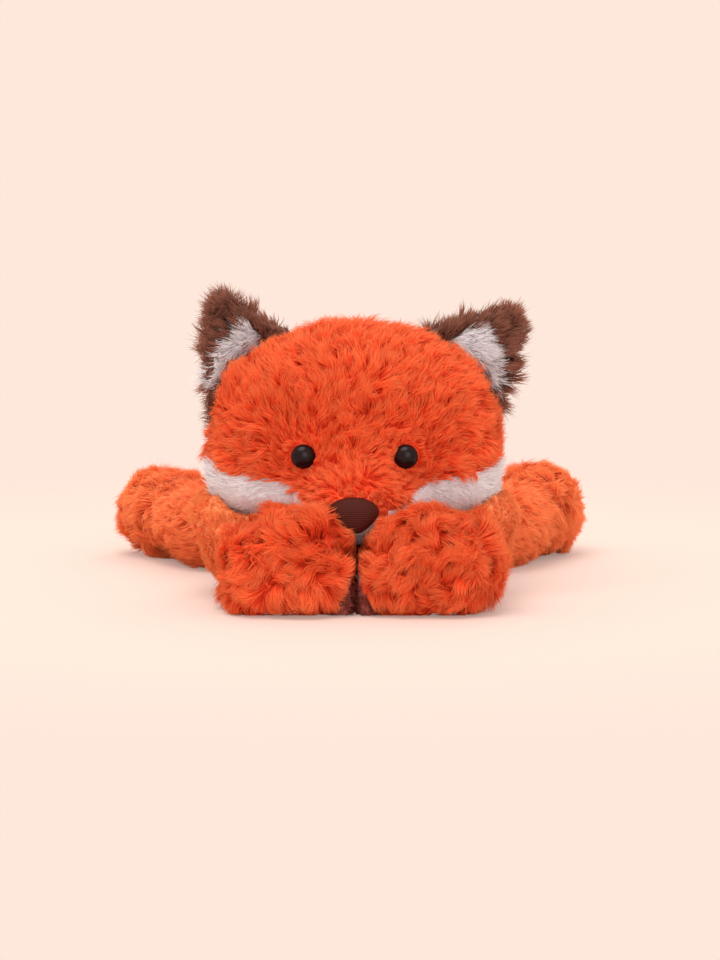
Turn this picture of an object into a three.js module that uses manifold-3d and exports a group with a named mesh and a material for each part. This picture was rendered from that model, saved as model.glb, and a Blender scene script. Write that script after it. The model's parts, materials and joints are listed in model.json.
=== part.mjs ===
// Lying plush fox, as one sewn and stuffed toy: covers cut from pile fabric, the stuffing
// that fills them, safety eyes held by washers, and a bag of pellets that weighs the belly.
// Millimetres, +Z up. The fox faces -Y and its own left side is +X. The origin is the
// middle of the flat of the belly, on the surface that the toy lies on.
import * as THREE from 'three';
import { mergeVertices } from 'three/addons/utils/BufferGeometryUtils.js';
import Module from 'manifold-3d';

// Fabric, seams and clearances
const longPile = 7; // backing and long pile, pressed to its mean height
const shortPile = 3.5; // backing and clipped pile of the sleeves and thighs
const seamGap = 0.3; // between two panels along a seam, and between a cover and its filling
const turnGap = 1; // between a limb and what it turns against
const earGap = 0.7; // between an ear and the head that it folds against
const restDepth = 0.5; // how deep a form that lies on the surface is pressed flat

// Body
const bodyHalfWidth = 52;
const bodyHalfLength = 80;
const bodyHalfHeight = 38;
const bodyFullness = 2.6;
const bellySeamHeight = 14;
const pouchHalfWidth = 30;
const pouchHalfLength = 44;
const pouchHalfHeight = 13;
const pouchFullness = 2.2;

// Neck, shoulders, hips and tail root: the rounds that the limbs turn on
const neckAhead = 60;
const neckHeight = 62;
const neckRadius = 32;
const shoulderOut = 38;
const shoulderAhead = 45;
const shoulderRadius = 25;
const hipOut = 43;
const hipAhead = 14;
const hipRadius = 23;
const tailRootBehind = 72;
const tailRootHeight = 31;
const tailRootRadius = 19;

// Head
const headAhead = 92;
const headHeight = 81.5;
const headHalfWidth = 72;
const headHalfLength = 57;
const headHalfHeight = 56.5;
const headFullness = 2.25;
const cheekOut = 47;
const cheekAhead = 100;
const cheekHeight = 63;
const cheekHalfWidth = 29;
const cheekHalfLength = 37;
const cheekHalfHeight = 28;
const muzzleAhead = 141;
const muzzleHeight = 51;
const muzzleHalfWidth = 30;
const muzzleHalfLength = 26;
const muzzleHalfHeight = 22;
const softFullness = 2;

// White patches of the face: the round that marks each one off
const whiteCheekOut = 68;
const whiteCheekAhead = 104;
const whiteCheekHeight = 20;
const whiteCheekHalfWidth = 85;
const whiteCheekHalfLength = 100;
const whiteCheekHalfHeight = 47;
const whiteCheekBack = 60; // how far ahead of the body's middle the white ends, behind the cheek
const chinAhead = 138;
const chinHeight = 30;
const chinHalfWidth = 32;
const chinHalfLength = 46;
const chinHalfHeight = 23;

// Nose
const noseHalfWidth = 11.3;
const noseHalfLength = 9;
const noseHalfHeight = 9.4;
const noseHeight = 45.5;
const noseAhead = 163;
const noseFullness = 2.5;

// Eyes
const eyeRadius = 6;
const eyeDome = 4.6;
const eyeOut = 26.3;
const eyeHeight = 72.5;
const eyeSink = 2.6;
const shankRadius = 1.6;
const shankBehind = 2;
const washerRadius = 6.5;
const washerThickness = 1.5;

// Ears
const earInnerOut = 31;
const earInnerHeight = 131;
const earOuterOut = 70;
const earOuterHeight = 76;
const earAhead = 86;
const earTall = 45;
const earTipInward = 20;
const earTipRound = 11;
const earRootDeep = 15;
const earThickness = 14;
const earEdgeRound = 6.5;
const earBulgeShare = 0.57; // how far the long edges swell
const earRim = 13;
const earLiningDepth = 6;
const earLiningSwell = 1.6;
const earLeanLeftDegrees = 16; // outward
const earLeanRightDegrees = -2;

// Front legs
const elbowOut = 66;
const elbowAhead = 96;
const wristOut = 42;
const wristAhead = 142;
const sleeveHalfWidth = 27;
const sleeveHalfHeight = 29.5;
const sleeveBluntness = 4;
const sleeveGirthShares = [0.9, 0.98, 1, 0.97, 0.9];
const pawOut = 36;
const pawAhead = 158;
const pawHalfWidth = 34;
const pawHalfLength = 36;
const pawHalfHeight = 27.5;
const pawFullness = 2.9;
const pawLowFullness = 6; // squarer under its widest part, where it rests
const soleRise = 3;
const pawSoleEdgeOut = 18; // where the sole starts to rise between the paws
const pawSoleTiltDegrees = 38;

// Hind legs
const kneeOut = 76;
const kneeAhead = 12;
const ankleOut = 98;
const ankleBehind = 52;
const thighHalfWidth = 26;
const thighHalfHeight = 23;
const thighBluntness = 4;
const thighGirthShares = [0.94, 1, 1, 0.98, 0.96];
const footOut = 100;
const footBehind = 56;
const footHalfWidth = 28;
const footHalfLength = 36;
const footHalfHeight = 25;
const footFullness = 2.4;
const footSplayDegrees = 60; // back from straight out

// Tail
const tailBendBehind = 118;
const tailBendHeight = 22;
const tailTipBehind = 196;
const tailTipHeight = 14;
const tailHalfWidth = 26;
const tailHalfHeight = 24;
const tailBluntness = 2.4;
const tailGirthShares = [0.55, 0.78, 0.98, 1, 0.92, 0.72];
const tailTipLength = 42;

// How far each piece turns
const nodDegrees = [0, 20];
const riseShares = [0.15, 0.4]; // of the nod, where the snout still passes the paws
const passShare = 1 / 6; // of the front legs' swing, where the paws still pass the cheeks
const frontSwingDegrees = [0, 30];
const hindSwingDegrees = [-8, 18];
const tailSwingDegrees = [-30, 30];
const earFoldDegrees = [-20, 20];

// How finely the rounds are cut into faces
const bodyFacets = 16;
const headFacets = 20;
const jointFacets = 16;
const neckFacets = 18;
const patchFacets = 12;
const pawFacets = 15;
const hollowFacets = 9;
const limbSides = 12;
const limbRings = 8;
const hollowRings = 5;
const eyeFacets = 12;
const curveFacets = 4;
const heightFacetShare = 0.6;

const wasm = await Module();
wasm.setup();

const up = new THREE.Vector3(0, 0, 1);

// A closed geometry as a solid that can be cut and joined
function solid(geometry) {
  const bare = new THREE.BufferGeometry();
  bare.setAttribute('position', geometry.getAttribute('position').clone());
  bare.setIndex(geometry.getIndex());
  const merged = mergeVertices(bare);
  const corners = merged.getIndex().array;
  const triangles = [];
  for (let i = 0; i < corners.length; i += 3) {
    const [a, b, c] = [corners[i], corners[i + 1], corners[i + 2]];
    if (a !== b && b !== c && c !== a) triangles.push(a, b, c);
  }
  return new wasm.Manifold(new wasm.Mesh({
    numProp: 3,
    vertProperties: new Float32Array(merged.getAttribute('position').array),
    triVerts: new Uint32Array(triangles),
  }));
}

// The largest piece of a solid, without crumbs that a cut may leave
function whole(body) {
  return body.decompose().reduce((best, piece) => (piece.volume() > best.volume() ? piece : best));
}

function geometryOf(body) {
  const mesh = body.getMesh();
  const geometry = new THREE.BufferGeometry();
  geometry.setAttribute('position', new THREE.BufferAttribute(mesh.vertProperties, 3));
  geometry.setIndex(new THREE.BufferAttribute(mesh.triVerts, 1));
  return geometry;
}

function joined(bodies) {
  return bodies.reduce((sum, body) => sum.add(body));
}

// The same piece on the other side of the toy
function mirrored(body) {
  const geometry = geometryOf(body);
  geometry.scale(-1, 1, 1);
  geometry.getIndex().array.reverse();
  return solid(geometry);
}

// A stuffed round: a sphere stretched to its half sizes, squarer as its fullness grows
function round({ at, half, fullness, lowFullness = fullness, turn = 0, facets }, growth = 0) {
  const around = growth < -turnGap ? Math.min(facets, hollowFacets) : facets;
  const geometry = new THREE.SphereGeometry(1, around, Math.round(around * heightFacetShare));
  const place = geometry.getAttribute('position');
  for (let i = 0; i < place.count; i++) {
    const [x, y, z] = [place.getX(i), place.getY(i), place.getZ(i)];
    const upright = z < 0 ? lowFullness : fullness;
    const across = (Math.abs(x) ** fullness + Math.abs(y) ** fullness) ** (upright / fullness);
    const reach = (across + Math.abs(z) ** upright) ** (-1 / upright);
    place.setXYZ(i, x * reach * (half[0] + growth), y * reach * (half[1] + growth),
      z * reach * (half[2] + growth));
  }
  geometry.rotateZ(turn);
  geometry.translate(...at);
  return solid(geometry);
}

// A share list read smoothly at any place between its two ends
function shareAt(shares, along) {
  const step = THREE.MathUtils.clamp(along, 0, 1) * (shares.length - 1);
  const first = Math.min(Math.floor(step), shares.length - 2);
  return THREE.MathUtils.lerp(shares[first], shares[first + 1],
    THREE.MathUtils.smoothstep(step - first, 0, 1));
}

// A stuffed tube: a lathed profile with blunt ends and a swelling girth, bent along a curve
function tube({ route, half, bluntness, girthShares }, growth = 0) {
  const spine = new THREE.QuadraticBezierCurve3(...route.map((point) => new THREE.Vector3(...point)));
  const extra = growth / spine.getLength();
  const hollow = growth < -turnGap;
  const rings = hollow ? hollowRings : limbRings;
  const profile = [];
  for (let ring = 0; ring <= rings; ring++) {
    const along = (1 - Math.cos((Math.PI * ring) / rings)) / 2;
    const inside = 1 - Math.abs(2 * along - 1) ** bluntness;
    profile.push(new THREE.Vector2(Math.sqrt(Math.max(inside, 0)), along));
  }
  const geometry = new THREE.LatheGeometry(profile, hollow ? hollowFacets : limbSides);
  const place = geometry.getAttribute('position');
  for (let i = 0; i < place.count; i++) {
    const along = place.getY(i);
    const at = along * (1 + 2 * extra) - extra;
    const tangent = spine.getTangent(THREE.MathUtils.clamp(at, 0, 1));
    const side = tangent.clone().cross(up).normalize();
    const top = side.clone().cross(tangent);
    const share = shareAt(girthShares, along);
    const point = spine.getPoint(at)
      .addScaledVector(side, place.getX(i) * (half[0] * share + growth))
      .addScaledVector(top, place.getZ(i) * (half[1] * share + growth));
    place.setXYZ(i, point.x, point.y, point.z);
  }
  return solid(geometry);
}

function box(low, high) {
  const size = high.map((value, i) => value - low[i]);
  const geometry = new THREE.BoxGeometry(...size);
  geometry.translate(...low.map((value, i) => value + size[i] / 2));
  return solid(geometry);
}

function turned(body, { at, axis }, degrees) {
  const geometry = geometryOf(body);
  geometry.translate(...at.map((value) => -value));
  geometry.applyMatrix4(new THREE.Matrix4().makeRotationAxis(
    new THREE.Vector3(...axis).normalize(), THREE.MathUtils.degToRad(degrees)));
  geometry.translate(...at);
  return solid(geometry);
}

// The room that a still body takes as a piece meets it that turns through a range beside it
function swept(body, hinge, range) {
  const ends = range.filter((angle) => angle !== 0);
  return joined([body, ...ends.map((angle) => turned(body, hinge, -angle))]);
}

const floorReach = 2 * tailTipBehind;
const floor = box([-floorReach, -floorReach, -floorReach], [floorReach, floorReach, 0]);
const lying = (half) => half - restDepth;

const bodyRound = {
  at: [0, 0, lying(bodyHalfHeight)],
  half: [bodyHalfWidth, bodyHalfLength, bodyHalfHeight],
  fullness: bodyFullness,
  facets: bodyFacets,
};
const ball = (at, radius, facets = jointFacets) => ({
  at, half: [radius, radius, radius], fullness: softFullness, facets,
});
const neck = ball([0, -neckAhead, neckHeight], neckRadius, neckFacets);
const shoulder = ball([shoulderOut, -shoulderAhead, lying(sleeveHalfHeight)], shoulderRadius);
const hip = ball([hipOut, -hipAhead, lying(thighHalfHeight) + seamGap], hipRadius);
const tailRoot = ball([0, tailRootBehind, tailRootHeight], tailRootRadius);

// What each piece turns about; the left side's hinges stand for both sides
const nod = { at: neck.at, axis: [-1, 0, 0] };
const frontSwing = { at: shoulder.at, axis: [0, 0, 1] };
const hindSwing = { at: hip.at, axis: [0, 0, -1] };
const tailSwing = { at: tailRoot.at, axis: [0, 0, 1] };

// The round of the body with its neck, and the same with every round that carries a limb
const trunkForm = (growth) => round(bodyRound, growth).add(round(neck, growth));

function bodyForm(growth) {
  const carriers = [shoulder, hip].map((part) => round(part, growth));
  return joined([trunkForm(growth), round(tailRoot, growth), ...carriers, ...carriers.map(mirrored)]);
}

const headRound = {
  at: [0, -headAhead, headHeight],
  half: [headHalfWidth, headHalfLength, headHalfHeight],
  fullness: headFullness,
  facets: headFacets,
};
const cheekRound = {
  at: [cheekOut, -cheekAhead, cheekHeight],
  half: [cheekHalfWidth, cheekHalfLength, cheekHalfHeight],
  fullness: softFullness,
  facets: patchFacets,
};
const muzzleRound = {
  at: [0, -muzzleAhead, muzzleHeight],
  half: [muzzleHalfWidth, muzzleHalfLength, muzzleHalfHeight],
  fullness: softFullness,
  facets: patchFacets,
};

const noseRound = {
  at: [0, -noseAhead, noseHeight],
  half: [noseHalfWidth, noseHalfLength, noseHalfHeight],
  fullness: noseFullness,
  facets: patchFacets,
};

function headForm(growth) {
  const cheek = round(cheekRound, growth);
  return joined([round(headRound, growth), round(muzzleRound, growth), cheek, mirrored(cheek)]);
}

// Parts a panel from a shell along the edge of a patch, with a seam between the two
function parted(shell, patch) {
  return [whole(shell.intersect(patch(-seamGap / 2))), shell.subtract(patch(seamGap / 2))];
}

// Body: an upper cover, a belly panel, the stuffing and the pellet bag in a pocket under it
function makeBody() {
  const shell = bodyForm(0).subtract(trunkForm(-longPile)).subtract(floor);
  const below = (growth) => box([-floorReach, -floorReach, -floorReach],
    [floorReach, floorReach, bellySeamHeight + growth]);
  const [belly, cover] = parted(shell, below);
  const pouch = {
    at: [0, 0, longPile + seamGap - restDepth],
    half: [pouchHalfWidth, pouchHalfLength, pouchHalfHeight],
    fullness: pouchFullness,
    facets: patchFacets,
  };
  const filling = trunkForm(-longPile - seamGap);
  return {
    body_cover: whole(cover),
    belly_panel: belly,
    body_stuffing: whole(filling.subtract(round(pouch, seamGap))),
    pellet_pouch: whole(filling.intersect(round(pouch))),
  };
}

// Where an eye sits: the point of the head straight behind it, and the way it looks
function eyeSeat() {
  const ratio = (distance, half) => (Math.abs(distance) / half) ** headFullness;
  const rise = eyeHeight - headHeight;
  const remainder = 1 - ratio(eyeOut, headHalfWidth) - ratio(rise, headHalfHeight);
  const ahead = headHalfLength * remainder ** (1 / headFullness);
  const slope = (distance, half) => Math.sign(distance) * (Math.abs(distance) / half)
    ** (headFullness - 1) / half;
  const look = new THREE.Vector3(slope(eyeOut, headHalfWidth), slope(-ahead, headHalfLength),
    slope(rise, headHalfHeight)).normalize();
  return { point: new THREE.Vector3(eyeOut, -headAhead - ahead, eyeHeight), look };
}

// A piece turned on a lathe about the eye's axis, with its heights counted from the pile outward
function onEyeAxis(profile) {
  const { point, look } = eyeSeat();
  const geometry = new THREE.LatheGeometry(profile.map(([x, y]) => new THREE.Vector2(x, y)), eyeFacets);
  geometry.applyQuaternion(new THREE.Quaternion().setFromUnitVectors(new THREE.Vector3(0, 1, 0), look));
  geometry.translate(point.x, point.y, point.z);
  return solid(geometry);
}

function drum(radius, low, high) {
  return [[0, low], [radius, low], [radius, high], [0, high]];
}

const washerTop = -longPile - seamGap;
const washerLow = washerTop - washerThickness;
const shankLow = washerLow - shankBehind;

function makeEye() {
  const profile = [[0, shankLow], [shankRadius, shankLow], [shankRadius, -eyeSink], [eyeRadius, -eyeSink]];
  for (let step = 1; step <= curveFacets; step++) {
    const turn = (Math.PI / 2) * (step / curveFacets);
    const radius = step === curveFacets ? 0 : eyeRadius * Math.cos(turn);
    profile.push([radius, eyeDome * Math.sin(turn) - eyeSink]);
  }
  return onEyeAxis(profile);
}

function makeWasher() {
  const bore = shankRadius + seamGap;
  return onEyeAxis([[bore, washerLow], [washerRadius, washerLow], [washerRadius, washerTop],
    [bore, washerTop], [bore, washerLow]]);
}

// The room that an eye, its shank and its washer take in the cover and the stuffing
function eyeRoom() {
  const clear = eyeDome + eyeRadius;
  return joined([
    onEyeAxis(drum(eyeRadius + seamGap, -eyeSink - seamGap, clear)),
    onEyeAxis(drum(shankRadius + seamGap, shankLow - seamGap, clear)),
    onEyeAxis(drum(washerRadius + seamGap, washerLow - seamGap, washerTop + seamGap)),
  ]);
}

// Head: the cover with its white cheeks and chin, the muzzle, the nose, the eyes and the stuffing
function makeHead() {
  const shoulderRoom = round(shoulder, turnGap);
  const chest = joined([round(bodyRound, turnGap), shoulderRoom, mirrored(shoulderRoom)]);
  const neckRoom = swept(chest, nod, nodDegrees).add(round(neck, turnGap));
  const eyes = eyeRoom().add(mirrored(eyeRoom()));
  const shell = headForm(0).subtract(headForm(-longPile)).subtract(neckRoom).subtract(eyes);
  const whiteCheek = {
    at: [whiteCheekOut, -whiteCheekAhead, whiteCheekHeight],
    half: [whiteCheekHalfWidth, whiteCheekHalfLength, whiteCheekHalfHeight],
    fullness: softFullness,
    facets: headFacets,
  };
  const cheekPatch = (growth) => round(whiteCheek, growth)
    .intersect(box([-growth, -floorReach, -floorReach], [floorReach, growth - whiteCheekBack, floorReach]));
  const chinPatch = {
    at: [0, -chinAhead, chinHeight],
    half: [chinHalfWidth, chinHalfLength, chinHalfHeight],
    fullness: softFullness,
    facets: patchFacets,
  };
  const [chin, withoutChin] = parted(shell, (growth) => round(chinPatch, growth));
  const [cheekLeft, withoutLeft] = parted(withoutChin, cheekPatch);
  const [cheekRight, withoutCheeks] = parted(withoutLeft, (growth) => mirrored(cheekPatch(growth)));
  const [muzzle, cover] = parted(withoutCheeks, (growth) => round(muzzleRound, growth));
  return {
    head_cover: whole(cover),
    cheek_left: cheekLeft,
    cheek_right: cheekRight,
    muzzle_cover: muzzle,
    chin_panel: chin,
    nose: whole(round(noseRound).subtract(headForm(seamGap))),
    eye_left: makeEye(),
    eye_right: mirrored(makeEye()),
    eye_washer_left: makeWasher(),
    eye_washer_right: mirrored(makeWasher()),
    head_stuffing: whole(headForm(-longPile - seamGap).subtract(neckRoom).subtract(eyes)),
  };
}

// The outline of an ear: a skewed triangle with a round tip, its root sunk in the head
function earOutline(inset) {
  const halfBase = Math.hypot(earOuterOut - earInnerOut, earOuterHeight - earInnerHeight) / 2 - inset;
  const tall = earTall - inset;
  const tip = -earTipInward + inset / 2;
  const shape = new THREE.Shape();
  shape.moveTo(-halfBase, 0);
  const shoulderDrop = tall - earTipRound / 2;
  shape.quadraticCurveTo(-halfBase, tall * earBulgeShare, tip - earTipRound, shoulderDrop);
  shape.quadraticCurveTo(tip, tall + earTipRound / 2, tip + earTipRound, shoulderDrop);
  shape.quadraticCurveTo(halfBase * earBulgeShare, tall * earBulgeShare, halfBase, 0);
  shape.quadraticCurveTo(0, -2 * earRootDeep, -halfBase, 0);
  return shape;
}

const earMiddle = [(earInnerOut + earOuterOut) / 2, -earAhead, (earInnerHeight + earOuterHeight) / 2];

// The ear's own directions: along its root line, out to its tip, and forward
function earBasis(leanDegrees) {
  const slope = Math.atan2(earInnerHeight - earOuterHeight, earOuterOut - earInnerOut)
    + THREE.MathUtils.degToRad(leanDegrees);
  const along = new THREE.Vector3(Math.cos(slope), 0, -Math.sin(slope));
  const outward = new THREE.Vector3(Math.sin(slope), 0, Math.cos(slope));
  const forward = along.clone().cross(outward);
  return { along, outward, forward };
}

// A slab of the ear's outline between two depths, counted back from the ear's front face
function earSlab(leanDegrees, inset, front, back, edgeRound) {
  const geometry = new THREE.ExtrudeGeometry(earOutline(inset), {
    depth: back - front - 2 * edgeRound,
    bevelEnabled: edgeRound > 0,
    bevelThickness: edgeRound,
    bevelSize: edgeRound,
    bevelOffset: -edgeRound,
    bevelSegments: 2,
    curveSegments: curveFacets,
  });
  geometry.translate(0, 0, edgeRound + earThickness / 2 - back);
  const { along, outward, forward } = earBasis(leanDegrees);
  const basis = new THREE.Matrix4().makeBasis(along, outward, forward).setPosition(...earMiddle);
  geometry.applyMatrix4(basis);
  return solid(geometry);
}

function makeEar(leanDegrees) {
  const fold = { at: earMiddle, axis: earBasis(leanDegrees).along.toArray() };
  const room = swept(headForm(earGap), fold, earFoldDegrees);
  const back = earSlab(leanDegrees, 0, 0, earThickness, earEdgeRound);
  const recess = earSlab(leanDegrees, earRim, -earThickness, earLiningDepth, 0);
  const lining = earSlab(leanDegrees, earRim + seamGap, -earLiningSwell, earLiningDepth - seamGap,
    earLiningSwell);
  return {
    ear_back: whole(back.subtract(recess).subtract(room)),
    ear_lining: whole(lining.subtract(room)),
  };
}

const sleeve = {
  route: [shoulder.at, [elbowOut, -elbowAhead, shoulder.at[2]], [wristOut, -wristAhead, shoulder.at[2]]],
  half: [sleeveHalfWidth, sleeveHalfHeight],
  bluntness: sleeveBluntness,
  girthShares: sleeveGirthShares,
};
const paw = {
  at: [pawOut, -pawAhead, lying(pawHalfHeight)],
  half: [pawHalfWidth, pawHalfLength, pawHalfHeight],
  fullness: pawFullness,
  lowFullness: pawLowFullness,
  facets: pawFacets,
};
const thighLine = lying(thighHalfHeight);
const thigh = {
  route: [[hipOut, -hipAhead, thighLine], [kneeOut, -kneeAhead, thighLine], [ankleOut, ankleBehind, thighLine]],
  half: [thighHalfWidth, thighHalfHeight],
  bluntness: thighBluntness,
  girthShares: thighGirthShares,
};
const foot = {
  at: [footOut, footBehind, lying(footHalfHeight)],
  half: [footHalfLength, footHalfWidth, footHalfHeight],
  fullness: footFullness,
  turn: THREE.MathUtils.degToRad(footSplayDegrees),
  facets: patchFacets,
};

// Everything as low as a sole, and under a plane that rises from its edge towards the toy's middle
function underSole(edgeOut, tiltDegrees, growth) {
  const flat = new THREE.BoxGeometry(2 * floorReach, 2 * floorReach, 2 * floorReach);
  flat.translate(0, 0, growth - floorReach);
  const rising = flat.clone().rotateY(THREE.MathUtils.degToRad(tiltDegrees));
  return joined([flat, rising].map((geometry) => solid(geometry.translate(edgeOut, 0, soleRise))));
}

// A leg: a short-pile tube sewn to a long-pile end with its sole panel, on one stuffing
function makeLeg(upper, end, room, soleEdgeOut, soleTiltDegrees) {
  const kept = (body) => whole(body.subtract(room).subtract(floor));
  const upperShell = tube(upper).subtract(tube(upper, -shortPile)).subtract(round(end, seamGap));
  const endShell = round(end).subtract(round(end, -longPile)).subtract(tube(upper, -shortPile));
  const [sole, endCover] = parted(endShell, (growth) => underSole(soleEdgeOut, soleTiltDegrees, growth));
  const filling = tube(upper, -shortPile - seamGap).add(round(end, -longPile - seamGap));
  return { upper: kept(upperShell), end: kept(endCover), sole: kept(sole), stuffing: kept(filling) };
}

// The room that a leg leaves for its own carrier and for what it swings beside
function legRoom(carrier, beside, hinge, range) {
  return swept(joined(beside.map((part) => round(part, turnGap))), hinge, range)
    .add(round(carrier, turnGap));
}

// The head presses on the paws and sleeves, and its muzzle and nose rise out between the paws
function underHead() {
  const head = headForm(turnGap);
  const snout = round(muzzleRound, turnGap).add(round(noseRound, turnGap));
  const rising = riseShares.map((share) => turned(snout, nod, share * nodDegrees[1]));
  const passing = turned(head, frontSwing, -passShare * frontSwingDegrees[1]);
  return joined([head, snout, passing, turned(head, nod, nodDegrees[1]), ...rising]);
}

function makeFrontLeg() {
  const room = legRoom(shoulder, [bodyRound, hip], frontSwing, frontSwingDegrees).add(underHead());
  const leg = makeLeg(sleeve, paw, room, pawSoleEdgeOut, pawSoleTiltDegrees);
  return { sleeve: leg.upper, paw: leg.end, paw_sole: leg.sole, front_leg_stuffing: leg.stuffing };
}

function makeHindLeg() {
  const room = legRoom(hip, [bodyRound, shoulder], hindSwing, hindSwingDegrees);
  const leg = makeLeg(thigh, foot, room, footOut, 0);
  return { thigh: leg.upper, foot: leg.end, foot_sole: leg.sole, hind_leg_stuffing: leg.stuffing };
}

// Tail: a bushy tube with a white end, swinging on its own round at the back of the body
function makeTail() {
  const form = {
    route: [tailRoot.at, [0, tailBendBehind, tailBendHeight], [0, tailTipBehind, tailTipHeight]],
    half: [tailHalfWidth, tailHalfHeight],
    bluntness: tailBluntness,
    girthShares: tailGirthShares,
  };
  const room = swept(round(bodyRound, turnGap), tailSwing, tailSwingDegrees)
    .add(round(tailRoot, turnGap)).add(floor);
  const shell = tube(form).subtract(tube(form, -longPile)).subtract(room);
  const end = (growth) => box([-floorReach, tailTipBehind - tailTipLength - growth, -floorReach],
    [floorReach, floorReach, floorReach]);
  const [tip, cover] = parted(shell, end);
  return {
    tail_cover: whole(cover),
    tail_tip: tip,
    tail_stuffing: whole(tube(form, -longPile - seamGap).subtract(room)),
  };
}

const fabric = (color) => ({ color, roughness: 0.95, metalness: 0 });
const looks = {
  orange: fabric(0xdc5131),
  paleOrange: fabric(0xe86c40),
  footOrange: fabric(0xf26a40),
  white: fabric(0xd1b5ab),
  brown: fabric(0x6b4b48),
  sole: fabric(0x44211f),
  nose: fabric(0x52231f),
  stuffing: fabric(0xf2efe8),
  pouch: fabric(0xd9d4c8),
  eye: { color: 0x1c0f0f, roughness: 0.12, metalness: 0 },
  washer: { color: 0xe8e6df, roughness: 0.4, metalness: 0 },
};

const fox = new THREE.Group();

function add(name, body, look) {
  const mesh = new THREE.Mesh(geometryOf(body), new THREE.MeshStandardMaterial(look));
  mesh.name = name;
  fox.add(mesh);
}

const middlePieces = { ...makeBody(), ...makeHead(), ...makeTail() };
const middleLooks = {
  body_cover: looks.orange,
  belly_panel: looks.white,
  body_stuffing: looks.stuffing,
  pellet_pouch: looks.pouch,
  head_cover: looks.orange,
  cheek_left: looks.white,
  cheek_right: looks.white,
  muzzle_cover: looks.orange,
  chin_panel: looks.white,
  nose: looks.nose,
  eye_left: looks.eye,
  eye_right: looks.eye,
  eye_washer_left: looks.washer,
  eye_washer_right: looks.washer,
  head_stuffing: looks.stuffing,
  tail_cover: looks.orange,
  tail_tip: looks.white,
  tail_stuffing: looks.stuffing,
};
for (const [name, body] of Object.entries(middlePieces)) add(name, body, middleLooks[name]);

const legs = { ...makeFrontLeg(), ...makeHindLeg() };
const leftPieces = { ...makeEar(earLeanLeftDegrees), ...legs };
const rightPieces = { ...makeEar(earLeanRightDegrees), ...legs };
const sideLooks = {
  ear_back: looks.brown,
  ear_lining: looks.white,
  sleeve: looks.paleOrange,
  paw: looks.orange,
  paw_sole: looks.sole,
  front_leg_stuffing: looks.stuffing,
  thigh: looks.paleOrange,
  foot: looks.footOrange,
  foot_sole: looks.sole,
  hind_leg_stuffing: looks.stuffing,
};
for (const [name, look] of Object.entries(sideLooks)) {
  add(`${name}_left`, leftPieces[name], look);
  add(`${name}_right`, mirrored(rightPieces[name]), look);
}

export default fox;
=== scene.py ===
"""Lying plush fox: its sewn fabric, its pile, eyes, nose and filling, on a plain studio floor."""
import json
import math

import bmesh
import bpy
import numpy as np
from bpy.props import FloatProperty, FloatVectorProperty, IntProperty, PointerProperty
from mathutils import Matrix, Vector
from mathutils.bvhtree import BVHTree
from mathutils.kdtree import KDTree


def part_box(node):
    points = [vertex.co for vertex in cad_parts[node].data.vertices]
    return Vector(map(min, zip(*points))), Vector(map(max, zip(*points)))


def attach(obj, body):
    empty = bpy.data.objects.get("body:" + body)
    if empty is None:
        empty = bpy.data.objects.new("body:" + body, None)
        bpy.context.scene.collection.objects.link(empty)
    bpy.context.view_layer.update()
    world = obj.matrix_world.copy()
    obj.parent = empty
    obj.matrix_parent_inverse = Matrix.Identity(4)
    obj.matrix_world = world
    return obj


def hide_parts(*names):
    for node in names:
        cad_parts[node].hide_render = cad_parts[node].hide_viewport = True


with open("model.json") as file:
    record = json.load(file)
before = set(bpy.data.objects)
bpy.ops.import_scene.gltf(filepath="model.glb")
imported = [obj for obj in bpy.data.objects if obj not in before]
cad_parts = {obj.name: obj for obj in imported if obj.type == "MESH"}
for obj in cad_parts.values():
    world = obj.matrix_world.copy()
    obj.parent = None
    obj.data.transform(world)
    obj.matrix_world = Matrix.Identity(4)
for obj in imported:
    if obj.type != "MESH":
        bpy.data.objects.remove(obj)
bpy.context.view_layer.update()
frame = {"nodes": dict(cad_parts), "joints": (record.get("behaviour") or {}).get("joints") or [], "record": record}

bl_info = {
    "name": "Plush fox",
    "version": (1, 0, 0),
    "blender": (4, 5, 0),
    "location": "3D View > Sidebar > Plush fox",
    "description": "Dresses the packed fox in sewn fabric and pile",
    "category": "Object",
}

MM = 0.001
NODES = frame["nodes"]
BODY_OF = {node: body for body, nodes in frame["record"]["behaviour"]["bodies"].items() for node in nodes}
SIDES = (("left", 1), ("right", -1))
SWELL_FRAMES = 20  # how long the cloth simulation runs
SEAM_DEPTH = 0.7 * MM  # how far in a cover is drawn where other parts press on it
FLOOR_GAP = 0.3 * MM  # how high the lowest cloth lies over the floor
PILE_FLOOR = 0.25 * MM  # how high the lowest strand lies over the floor
EYE_RADIUS = 6 * MM
FAR = 9.0  # stands for any share of a radius that is too large to matter
FACE_BACK = -98 * MM  # where the face's pile ends and the pile of the head's back begins
PAW_FRONT = -168 * MM  # where the paws' lower edge begins to rise
PAW_RISE = 0.14  # how steeply it rises ahead of there


def linear(hex_colour):
    """An sRGB hex value as linear red, green and blue."""
    parts = [int(hex_colour[i:i + 2], 16) / 255 for i in (0, 2, 4)]
    return tuple(p / 12.92 if p <= 0.04045 else ((p + 0.055) / 1.055) ** 2.4 for p in parts)


def colour_property(name, description, hex_colour):
    """A colour that a user can change, from its sRGB hex value."""
    return FloatVectorProperty(name=name, description=description, subtype="COLOR", size=3, min=0, max=1,
                               default=linear(hex_colour))


def length_property(name, description, millimetres):
    """A length that a user can change, from its size in millimetres."""
    return FloatProperty(name=name, description=description, default=millimetres * MM, min=0,
                         subtype="DISTANCE", unit="LENGTH")


def power_property(name, description, watts):
    """A lamp's power that a user can change."""
    return FloatProperty(name=name, description=description, default=watts, min=0, unit="POWER")


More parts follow.
